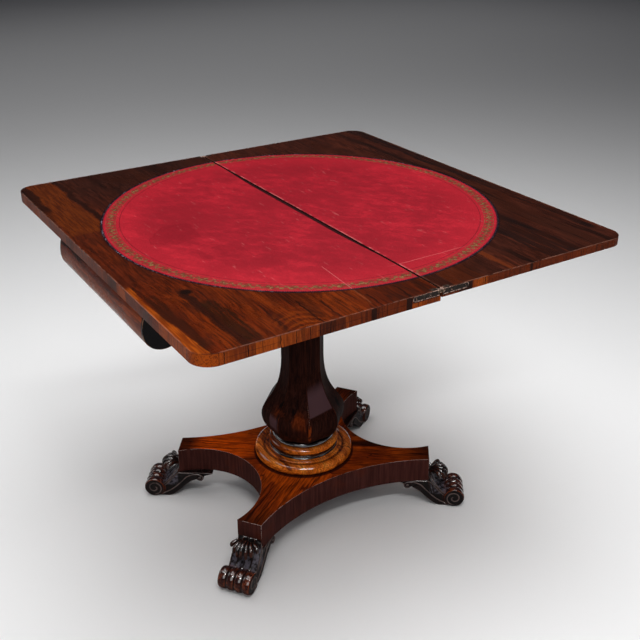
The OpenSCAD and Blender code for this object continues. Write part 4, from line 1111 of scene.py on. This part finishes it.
def hinge_finish(name, clean):
    """Aged brass: brown in the hollows, pinkish where it is rubbed and in a painted highlight along its
    edges; clean is how much of it is rubbed.
    """
    looks = bpy.context.scene.card_table_colours
    material, r, place = new_material(name)
    tarnish = r.noise(place, 340, 4, 0.65)
    share = r.rise(tarnish, 0.60 - clean, 0.74 - clean)
    colour = r.mix(share, tint(34, 25, 20), rgba(looks.brass))
    # pale rims along the edges and round the plates: painted highlight
    rim = r.most(r.mark("arris"), r.near(plate_distance(r, place), 0.0049, 0.0005, 0.0004))
    bright = r.most(r.rise(tarnish, 0.78 - clean, 0.84 - clean), r.times(rim, r.rise(tarnish, 0.42, 0.52)))
    colour = r.mix(r.times(bright, 0.9), colour, tint(214, 176, 160))
    shine = r.most(r.times(share, 0.5), bright)
    surface(r, colour, r.fade(shine, 0.5, 0.3), tarnish, 0.3, 0.3 * MM,
            metal=r.fade(shine, 0.2, 0.6), specular=0.2)
    return material


def iron_finish():
    """Blackened iron with a little rust."""
    material, r, place = new_material("blackened_iron")
    spots = r.noise(place, 160, 4, 0.7)
    rust = r.rise(spots, 0.55, 0.66)
    colour = r.mix(rust, tint(70, 67, 64), tint(92, 54, 36))
    surface(r, colour, r.fade(rust, 0.42, 0.8), spots, 0.4, 0.3 * MM, metal=r.fade(rust, 0.9, 0.2))
    return material


FINISHES = {}


def finish_of(name, build, *values):
    """A finish is made the first time that a piece asks for it."""
    if name not in FINISHES:
        FINISHES[name] = build(*values)
    return FINISHES[name]


# Pieces

class CARDTABLE_OT_leaf_tops(Operator):
    """Face veneer of both leaves and the dark line round the leather"""
    bl_idname = "card_table.leaf_tops"
    bl_label = "Leaf tops"

    def execute(self, context):
        arris = context.scene.card_table_shapes.arris
        wood = finish_of("leaf top", leaf_top_finish)
        for name, body, node in (("lower_leaf_face", "top", "fixed_leaf_veneer"),
                                 ("flap_face", "flap", "flap_veneer")):
            worn_copy(node, name, body, "rosewood_top", wood, arris, 2, 50, arris)
        dressed(finish_of("dark line", line_inlay_finish), "fixed_leaf_stringing", "flap_stringing")
        return {"FINISHED"}


class CARDTABLE_OT_leaf_edges(Operator):
    """Cross-banded edges of both leaves"""
    bl_idname = "card_table.leaf_edges"
    bl_label = "Leaf edges"

    def execute(self, context):
        arris = context.scene.card_table_shapes.arris
        wood = finish_of("leaf edge", leaf_edge_finish)
        for name, body, node in (("lower_leaf_edge", "top", "fixed_leaf_lipping"),
                                 ("flap_edge", "flap", "flap_lipping")):
            worn_copy(node, name, body, "rosewood_edge", wood, arris, 2, 50, arris)
        return {"FINISHED"}


class CARDTABLE_OT_leather(Operator):
    """Leather of both leaves, with its tooled border"""
    bl_idname = "card_table.leather"
    bl_label = "Leather"

    def execute(self, context):
        dressed(finish_of("leather", leather_finish), "fixed_leaf_leather", "flap_leather")
        return {"FINISHED"}


class CARDTABLE_OT_hinges(Operator):
    """Hinge plates, links and pins, and slotted screws"""
    bl_idname = "card_table.hinges"
    bl_label = "Hinges"

    def execute(self, context):
        brass = finish_of("brass", hinge_finish, "aged_brass", 0.0)
        rubbed = finish_of("rubbed brass", hinge_finish, "rubbed_brass", 0.16)
        for leaf, body, side in (("fixed", "top", -1), ("flap", "flap", 1)):
            for end in ("front", "back"):
                self.worn_plate(leaf + "_hinge_plate_" + end, body, brass)
            self.slotted_screws(leaf, body, side, brass)
        for end in ("front", "back"):
            self.worn_plate("hinge_link_" + end, "hinge_links", rubbed)
        dressed(rubbed, "fixed_hinge_pins", "flap_hinge_pins")
        return {"FINISHED"}

    def worn_plate(self, node, body, brass):
        """A hinge leaf or link with its sharp edges rounded as by wear, the narrow faces there marked."""
        worn_copy(node, "worn_" + node, body, "hinge_brass", brass, 0.3 * MM, 1, 40, 0.5 * MM)

    def slotted_screws(self, leaf, body, side, brass):
        """The screws of one leaf, with a slot sawn across each head."""
        node = leaf + "_hinge_screws"
        piece = copy_of_node(node, "slotted_" + node)
        length, depth, width = 6 * MM, 1.2 * MM, 0.9 * MM
        saws = []
        for end in (-1, 1):
            for i, place in enumerate(SCREW_PLACES):
                nothing_selected()
                bpy.ops.mesh.primitive_cube_add(size=1, location=(0, 0, 0))
                saw = bpy.context.object
                saw.data.transform(Matrix.Diagonal((length, depth, width, 1)))
                turn = math.radians(35 + 65 * i + 20 * end)
                saw.data.transform(Matrix.Translation((side * place, end * HALF_LENGTH, SCREW_HEIGHT))
                                   @ Matrix.Rotation(turn, 4, "Y"))
                saws.append(saw)
        saw = joined(saws, "screw_saw")
        take(piece)
        bpy.ops.object.modifier_add(type="BOOLEAN")
        cut = piece.modifiers[-1]
        cut.object = saw
        cut.operation = "DIFFERENCE"
        cut.solver = "EXACT"
        bpy.ops.object.modifier_apply(modifier=cut.name)
        bpy.data.objects.remove(saw)
        if not piece.data.polygons:
            raise RuntimeError("the slots took the screws away")
        smooth(piece)
        mark_arrises(piece, 1.5 * MM)
        finished(piece, body, "hinge_brass", brass, node)


class CARDTABLE_OT_frieze(Operator):
    """Rolled ends, their black caps and the rails of the frieze"""
    bl_idname = "card_table.frieze"
    bl_label = "Frieze"

    def execute(self, context):
        wood = finish_of("frieze", frieze_finish)
        black = finish_of("dull black", ebonised_finish, "black_cap", 0.06)
        dressed(wood, "front_rail", "back_rail", "end_roll_left", "end_roll_right", "column_capping")
        rounding = 1.0 * MM
        for end in ("front_left", "front_right", "back_left", "back_right"):
            worn_copy("roll_cap_" + end, "roll_end_" + end, "base", "ebonised", black,
                      rounding, 2, 40, rounding)
        return {"FINISHED"}


class CARDTABLE_OT_column(Operator):
    """Octagonal baluster column with rounded arrises"""
    bl_idname = "card_table.column"
    bl_label = "Column"

    def execute(self, context):
        arris = context.scene.card_table_shapes.base_arris
        worn_copy("column", "baluster", "base", "rosewood_dark", finish_of("column", column_finish),
                  arris, 2, 25, 0.8 * arris, flat=0.1, shading=20)
        return {"FINISHED"}


class CARDTABLE_OT_collar(Operator):
    """Turned rings round the foot of the column"""
    bl_idname = "card_table.collar"
    bl_label = "Collar"

    def execute(self, context):
        honey = finish_of("turned", turned_finish)
        black = finish_of("black", ebonised_finish, "black_polish", 0.5)
        bore = 25.1

        def at(radius, height):
            """A point of the outline, in millimetres outwards and up from the platform."""
            return (radius * MM, 0, PLATFORM_TOP + height * MM)

        def bead(radius, half, middle, start, stop, steps=20):
            """Points round part of a bead whose outermost point is at radius."""
            return [at(radius - half + half * math.cos(math.radians(start + (stop - start) * i / steps)),
                       middle + half * math.sin(math.radians(start + (stop - start) * i / steps)))
                    for i in range(steps + 1)]

        lower = [at(bore, 0), at(101, 0), *bead(112, 11, 11, -90, 128, 26), at(91.5, 17.2), at(89.5, 17.6),
                 *bead(88, 1.6, 19.4, -60, 90, 6), at(80.5, 21), at(80, 22), at(bore, 22), at(bore, 0)]
        hollow = [at(bore, 22), at(77, 22), at(77, 22.8)]
        hollow += [at(81 - 6 * math.cos(math.radians(a)), 27 + 5.4 * math.sin(math.radians(a)))
                   for a in range(-52, 53, 8)]
        hollow += [at(77, 31.2), at(77, 32), at(bore, 32), at(bore, 22)]
        upper = [at(bore, 32), *bead(79, 7, 39, -90, 90), at(bore, 46), at(bore, 32)]
        foot = [at(bore, 46), *bead(70.5, 6, 52, -90, 90), at(bore, 58), at(bore, 46)]
        for name, node, outline, slot, material in (
                ("lower_ring", "collar_lower_ring", lower, "rosewood_turned", honey),
                ("hollow_ring", "collar_hollow", hollow, "ebonised", black),
                ("upper_ring", "collar_upper_ring", upper, "rosewood_turned", honey),
                ("black_ring", "column_foot_ring", foot, "ebonised", black)):
            piece = turned(name, outline, 160)
            smooth(piece, 40)
            if material == honey:
                mark_high_places(piece, 1)
            finished(piece, "base", slot, material, node)
        return {"FINISHED"}


class CARDTABLE_OT_platform(Operator):
    """Four-armed platform with softened edges"""
    bl_idname = "card_table.platform"
    bl_label = "Platform"

    def execute(self, context):
        arris = context.scene.card_table_shapes.base_arris
        worn_copy("platform", "four_armed_board", "base", "rosewood_base",
                  finish_of("platform", platform_finish), arris, 3, 40, 0.8 * arris)
        return {"FINISHED"}


def bend(a, b, c, d, steps):
    """Points along a curve from a to d, steered by b and c."""
    points = []
    for i in range(steps + 1):
        t = i / steps
        s = 1 - t
        points.append(tuple(s ** 3 * a[k] + 3 * s * s * t * b[k] + 3 * s * t * t * c[k] + t ** 3 * d[k]
                            for k in range(len(a))))
    return points


def bead_along(name, points, radius):
    """A raised bead along the points, thinner at its two ends."""
    line = bpy.data.curves.new(name, "CURVE")
    line.dimensions = "3D"
    line.bevel_depth = radius
    line.bevel_resolution = 2
    line.use_fill_caps = True
    spline = line.splines.new("POLY")
    spline.points.add(len(points) - 1)
    for i, (point, place) in enumerate(zip(spline.points, points)):
        point.co = (*place, 1)
        share = min(i, len(points) - 1 - i) / 5
        point.radius = 0.35 + 0.65 * min(1, share)
    piece = bpy.data.objects.new(name, line)
    bpy.context.scene.collection.objects.link(piece)
    take(piece)
    bpy.ops.object.convert(target="MESH")
    return bpy.context.object


class CARDTABLE_OT_feet(Operator):
    """Four carved feet: reeded toe roll, fluted neck, shell, scrolls"""
    bl_idname = "card_table.feet"
    bl_label = "Feet"

    def bracket(self, shapes):
        """The block of the foot: hollow fluted neck in front, S-curved underside."""
        front = bend((5, 87), (12, 72), (22, 50), (44, 35), 30)
        under = bend((33, 0), (5, 0.7), (-10, 39), (-36.2, 46.9), 20)
        outline = [(-78, 66.5), (0, 66.9), (0, 88), *front, (62, 23), (62, 1), *under,
                   (-44, 50), (-60, 57), (-78, 64.5)]
        ring = [Vector((u * MM, -FOOT_HALF * MM, z * MM)) for u, z in outline]
        piece = sawn("foot_bracket", ring + [ring[0]], (0, 2 * FOOT_HALF * MM, 0), 2 * FOOT_HALF)
        pitch = 2 * FOOT_HALF / shapes.reeds * MM
        for vertex in piece.data.vertices:
            u, v, z = vertex.co
            out = abs(v) / (FOOT_HALF * MM)
            if u > 4 * MM and 34 * MM < z < 94 * MM:
                fade = min(1, (z - 34 * MM) / (9 * MM)) ** 0.5
                place = (v / pitch + 0.5 * (shapes.reeds % 2)) % 1.0 - 0.5
                hollow = math.sqrt(max(0, 1 - (2 * place) ** 2))
                vertex.co.x -= shapes.flute_depth * fade * hollow + 7 * MM * out ** 5
                vertex.co.z -= 0.5 * shapes.flute_depth * fade * hollow
            if z > NECK_LOW * MM:
                vertex.co.y *= 1 - NECK_NARROWS * (z - NECK_LOW * MM) / (NECK_TALL * MM)
            if u < -36 * MM and z < 64 * MM:
                vertex.co.y *= 0.9
        return piece

    def toe_roll(self, shapes):
        """Reeded roll, turned about a level axis, with a sunk disc at each end."""
        pitch = 70 / shapes.reeds
        depth = shapes.reed_depth / MM
        outline = [(0, -35.2), (17.2, -35.2), (18.0, -36.3), (21.0, -36.3)]
        for i in range(shapes.reeds):
            for k in range(1, 16):
                angle = math.pi * k / 16
                place = -35 + pitch * (i + (1 - math.cos(angle)) / 2)
                radius = ROLL_RADIUS - depth + depth * math.sin(angle) ** 0.7
                if (i == 0 and k < 8) or (i == shapes.reeds - 1 and k > 8):
                    radius = ROLL_RADIUS - (ROLL_RADIUS - radius) * 0.4
                if abs(place) < 34.9:
                    outline.append((radius, place))
        outline += [(21.0, 36.3), (18.0, 36.3), (17.2, 35.2), (0, 35.2)]
        centre = Vector((ROLL[0], 0, ROLL[1])) * MM
        points = [centre + Vector((0, v * MM, rad * MM)) for rad, v in outline]
        return turned("toe_roll", points, 96, centre, (0, 1, 0))

    def lobe(self, shapes, i):
        """One lobe of the shell: a round-ended leaf that stands out over the neck and turns down."""
        nothing_selected()
        bpy.ops.mesh.primitive_uv_sphere_add(segments=24, ring_count=26, radius=1, location=(0, 0, 0))
        piece = bpy.context.object
        side = i / (shapes.lobes - 1) * 2 - 1
        far = abs(side)
        root = Vector((6, 6 * side, 79 - 2 * far))
        tip = Vector((43 - 17 * far ** 2, 29 * side, 62 + 12 * far ** 2))
        level = Vector((tip.x - root.x, tip.y - root.y, 0))
        across = Vector((-level.y, level.x, 0)).normalized()
        steer = [root, root + level * 0.35 + Vector((0, 0, 17 - 8 * far)),
                 tip + Vector((0, 0, 33 - 17 * far)) + level * 0.12, tip]
        for vertex in piece.data.vertices:
            x, y, z = vertex.co
            t = (z + 1) / 2
            s = 1 - t
            middle = (s ** 3 * steer[0] + 3 * s * s * t * steer[1] + 3 * s * t * t * steer[2]
                      + t ** 3 * steer[3])
            along = (s * s * (steer[1] - steer[0]) + 2 * s * t * (steer[2] - steer[1])
                     + t * t * (steer[3] - steer[2])).normalized()
            outward = along.cross(across)
            ring = max(0, 1 - z * z) ** 0.33
            around = math.atan2(y, x)
            width = (2.3 + 3.3 * t ** 0.8) * ring
            thick = (4.6 + 0.8 * t) * ring
            vertex.co = middle + across * width * math.sin(around) + outward * thick * math.cos(around)
        piece.data.transform(Matrix.Scale(MM, 4))
        take(piece)
        bpy.ops.object.mode_set(mode="EDIT")
        tidy_mesh()
        return piece

    def back_scroll(self):
        """Small roll under the platform, with a button in its eye."""
        centre = Vector((SCROLL[0], 0, SCROLL[1])) * MM
        half = [(0, 32), (2.4, 31.8), (3.7, 30.8), (3.9, 28.2), (6.2, 28.2), (6.6, 30.6), (8.6, 30.2),
                (9.3, 29)]
        outline = [(rad, -v) for rad, v in half] + half[::-1]
        points = [centre + Vector((0, v * MM, rad * MM)) for rad, v in outline]
        return turned("back_scroll", points, 48, centre, (0, 1, 0))

    def side_beads(self, shapes, side):
        """Raised lines on one side: from the spiral on the roll to the back curl, and up the neck."""
        def stand(u, z):
            """Distance of the side from the middle: the roll is wider than the block."""
            rim = math.hypot(u - ROLL[0], z - ROLL[1])
            share = min(1, max(0, (30 - rim) / 9))
            share = share * share * (3 - 2 * share)
            return (FOOT_HALF + 4.3 * share) * side

        def neck_side(z):
            """How far the side of the neck stands from the middle, with the ribs just proud of it."""
            return (FOOT_HALF + 0.2) * (1 - NECK_NARROWS * max(0, z - NECK_LOW) / NECK_TALL)

        toe = []
        for i in range(61):
            angle = math.radians(-90 - 500 * (1 - i / 60))
            rad = 3.6 + 15 * (i / 60) ** 0.9
            toe.append((SPIRAL[0] + rad * math.cos(angle), SPIRAL[1] + rad * math.sin(angle)))
        sweep = bend(toe[-1], (26, 4), (4, 34), (-14, 53), 26)[1:]
        top = bend(sweep[-1], (-22, 61), (-38, 65), (-50, 60.5), 12)[1:]
        curl = []
        for i in range(1, 13):
            angle = math.radians(112 + 230 * i / 12)
            rad = 8 - 1.4 * i / 12
            curl.append((SCROLL[0] + rad * math.cos(angle), SCROLL[1] + rad * math.sin(angle)))
        path = [*toe, *sweep, *top, *curl]
        places = [Vector((u, stand(u, z), z)) * MM for u, z in path]
        beads = [bead_along("foot_bead", places, shapes.bead)]
        low = [(-34, 64.4), (-20, 65), (-8, 65.2)]
        for first, steer, last in (((2, 66), ((13, 60), (24, 38)), (42, 25)),
                                   ((4, 80), ((13, 66), (26, 42)), (43, 31))):
            line = bend(first, *steer, last, 18)
            line = [*low, *line] if first[1] < 70 else line
            points = [Vector((u, side * neck_side(z), z)) * MM for u, z in line]
            beads.append(bead_along("foot_rib", points, shapes.bead * 0.85))
        return beads

    def execute(self, context):
        shapes = context.scene.card_table_shapes
        wood = finish_of("carved", carved_finish)
        lobes = [self.lobe(shapes, i) for i in range(shapes.lobes)]
        blocks = [self.bracket(shapes), self.toe_roll(shapes), self.back_scroll()]
        foot = joined([*blocks, *lobes], "carved_foot")
        take(foot)
        bpy.ops.object.modifier_add(type="REMESH")
        remesh = foot.modifiers[-1]
        remesh.mode = "VOXEL"
        remesh.voxel_size = shapes.carving_step
        bpy.ops.object.modifier_apply(modifier=remesh.name)
        bpy.ops.object.modifier_add(type="SMOOTH")
        soft = foot.modifiers[-1]
        soft.factor = 0.5
        soft.iterations = 2
        bpy.ops.object.modifier_apply(modifier=soft.name)
        foot = joined([foot, *self.side_beads(shapes, -1), *self.side_beads(shapes, 1)], "carved_foot")
        for vertex in foot.data.vertices:
            place = vertex.co
            place.z = max(place.z, 0)
            if place.x < 0 and place.z > FLOOR_TO_PLATFORM:
                if place.x > FLOOR_TO_PLATFORM - place.z:
                    place.x = 0
                else:
                    place.z = FLOOR_TO_PLATFORM
        take(foot)
        bpy.ops.object.shade_smooth()
        mark_high_places(foot, 3)
        for side, turn in ARM_TURNS.items():
            piece = bpy.data.objects.new("carved_foot_" + side, foot.data.copy())
            bpy.context.scene.collection.objects.link(piece)
            piece.data.transform(Matrix.Rotation(turn, 4, "Z") @ Matrix.Translation((ARM_REACH, 0, 0)))
            piece.data.name = piece.name
            finished(piece, "base", "carved_dark", wood, "foot_" + side)
        bpy.data.objects.remove(foot)
        return {"FINISHED"}


class CARDTABLE_OT_inside(Operator):
    """Carcase, card well, pivot and screws, which show when the top is turned or seen from below"""
    bl_idname = "card_table.inside"
    bl_label = "Inside"

    def execute(self, context):
        dressed(finish_of("carcase", plain_wood_finish, "mahogany_carcase", paint(92, 50, 30),
                          paint(140, 84, 52)),
                "fixed_leaf_core", "flap_core", "bearer", "pivot_rail", "well_partition", "well_floor",
                "glue_blocks")
        dressed(finish_of("bare", plain_wood_finish, "bare_wood", paint(160, 120, 80), paint(196, 158, 112)),
                "column_wedge", "foot_dowels", "stop_peg")
        dressed(finish_of("baize", baize_finish), "well_baize")
        dressed(finish_of("iron", iron_finish), "pivot_plate", "pivot_bolt", "pivot_washer", "pivot_nut",
                "pivot_plate_screws", "foot_screws", "capping_screws")
        return {"FINISHED"}


class CARDTABLE_OT_stage(Operator):
    """Floor, lamps, sky and camera"""
    bl_idname = "card_table.stage"
    bl_label = "Stage"

    def lamp(self, name, place, target, size, power, spread=180):
        light = bpy.data.lights.new(name, "AREA")
        light.shape = "RECTANGLE"
        light.size, light.size_y = size
        light.energy = power
        light.spread = math.radians(spread)
        lamp = bpy.data.objects.new(name, light)
        bpy.context.scene.collection.objects.link(lamp)
        lamp.location = place
        look = Vector(target) - Vector(place)
        lamp.rotation_euler = look.to_track_quat("-Z", "Y").to_euler()
        return lamp

    def pass_by_top(self, lamp, skip=False):
        """Lets the light of a lamp reach the base and floor through the top; skip leaves the top unlit."""
        clear = bpy.data.collections.new("pieces passed by " + lamp.name)
        lamp.light_linking.blocker_collection = clear
        if skip:
            lamp.light_linking.receiver_collection = clear
        for piece in bpy.context.scene.objects:
            if piece.type == "MESH" and piece.get("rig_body") in ("top", "flap", "hinge_links"):
                clear.objects.link(piece)
        for entry in clear.collection_objects:
            entry.light_linking.link_state = "EXCLUDE"

    def execute(self, context):
        scene = context.scene
        stage = scene.card_table_stage
        nothing_selected()
        bpy.ops.mesh.primitive_plane_add(size=60, location=(0, 0, 0))
        floor = context.object
        floor.name = floor.data.name = "studio_floor"
        material, r, place = new_material("pale_floor")
        soft = r.noise(place, 0.8, 2)
        colour = r.mix(soft, rgba(stage.floor), rgba(tuple(v * 0.97 for v in stage.floor)))
        surface(r, colour, 0.9, specular=0.1)
        floor.data.materials.append(material)

        self.lamp("top_lamp", (0.1, -0.2, 2.7), (0, 0, 0.6), (2.2, 2.2), stage.top_lamp)
        over = self.lamp("base_lamp", (-0.1, 0.3, 2.6), (0, 0.1, 0.1), (2.2, 2.2), stage.base_lamp)
        self.pass_by_top(over, True)
        self.lamp("front_lamp", (-2.2, -2.4, 2.2), (0, 0, 0.35), (2.6, 2.0), stage.front_lamp)
        spark = self.lamp("spark_lamp", (-0.8, -1.75, 2.9), (0, 0, 0.2), (1.3, 0.14), stage.spark_lamp)
        self.pass_by_top(spark)
        self.lamp("right_lamp", (1.7, -2.6, 1.6), (0, 0, 0.35), (1.2, 1.2), stage.right_lamp)
        self.lamp("left_lamp", (-2.0, 2.3, 1.9), (0, 0, 0.5), (1.6, 1.6), stage.left_lamp)
        self.lamp("back_lamp", (1.8, 5.5, 4.0), (1.8, 5.5, 0), (9.0, 4.0), stage.back_lamp, 95)

        world = bpy.data.worlds.new("studio")
        scene.world = world
        world.use_nodes = True
        world.node_tree.nodes.clear()
        r = Recipe(world.node_tree)
        height = r.split(r.add("ShaderNodeTexCoord").outputs["Generated"])[2]
        sky = r.mix(r.rise(height, 0.0, 0.11), tint(136, 136, 138), tint(42, 42, 46))
        back = r.add("ShaderNodeBackground", {"Color": sky, "Strength": 1.0})
        out = r.add("ShaderNodeOutputWorld")
        r.feed(out.inputs[0], back.outputs[0])

        heading, tilt = stage.heading, stage.tilt
        back_way = Vector((math.sin(heading) * math.cos(tilt), -math.cos(heading) * math.cos(tilt),
                           math.sin(tilt)))
        right = Vector((math.cos(heading), math.sin(heading), 0))
        up = back_way.cross(right)
        turn = Matrix((right, up, back_way)).transposed() @ Matrix.Rotation(-stage.roll, 3, "Z")
        spot = Vector((0, 0, TABLE_TOP)) - turn @ Vector((stage.across, stage.above, -stage.distance))
        camera = bpy.data.cameras.new("camera")
        camera.sensor_width = 36
        camera.lens = stage.focal_px * camera.sensor_width / PICTURE_WIDTH
        view = bpy.data.objects.new("camera", camera)
        scene.collection.objects.link(view)
        view.matrix_world = Matrix.Translation(spot) @ turn.to_4x4()
        scene.camera = view
        scene.view_settings.view_transform = "Standard"
        return {"FINISHED"}


class CARDTABLE_PT_panel(Panel):
    """Lists the pieces of the card table and their settings"""
    bl_label = "Card table"
    bl_idname = "CARDTABLE_PT_panel"
    bl_space_type = "VIEW_3D"
    bl_region_type = "UI"
    bl_category = "Card table"

    def draw(self, context):
        layout = self.layout
        for operator in OPERATORS:
            layout.operator(operator.bl_idname)
        scene = context.scene
        for settings in (scene.card_table_colours, scene.card_table_shapes, scene.card_table_stage):
            box = layout.box()
            for name in settings.bl_rna.properties.keys():
                if name not in ("rna_type", "name"):
                    box.prop(settings, name)


OPERATORS = (
    CARDTABLE_OT_leaf_tops,
    CARDTABLE_OT_leaf_edges,
    CARDTABLE_OT_leather,
    CARDTABLE_OT_hinges,
    CARDTABLE_OT_frieze,
    CARDTABLE_OT_column,
    CARDTABLE_OT_collar,
    CARDTABLE_OT_platform,
    CARDTABLE_OT_feet,
    CARDTABLE_OT_inside,
    CARDTABLE_OT_stage,
)
SETTINGS = {
    "card_table_colours": CardTableColours,
    "card_table_shapes": CardTableShapes,
    "card_table_stage": CardTableStage,
}


def register():
    for item in (*SETTINGS.values(), *OPERATORS, CARDTABLE_PT_panel):
        bpy.utils.register_class(item)
    for name, item in SETTINGS.items():
        setattr(bpy.types.Scene, name, PointerProperty(type=item))


def unregister():
    for name in SETTINGS:
        delattr(bpy.types.Scene, name)
    for item in (CARDTABLE_PT_panel, *reversed(OPERATORS), *SETTINGS.values()):
        bpy.utils.unregister_class(item)


def main():
    register()
    build_groups()
    bpy.ops.card_table.leaf_tops()
    bpy.ops.card_table.leaf_edges()
    bpy.ops.card_table.leather()
    bpy.ops.card_table.hinges()
    bpy.ops.card_table.frieze()
    bpy.ops.card_table.column()
    bpy.ops.card_table.collar()
    bpy.ops.card_table.platform()
    bpy.ops.card_table.feet()
    bpy.ops.card_table.inside()
    bpy.ops.card_table.stage()
    nothing_selected()


if __name__ == "__main__":
    main()
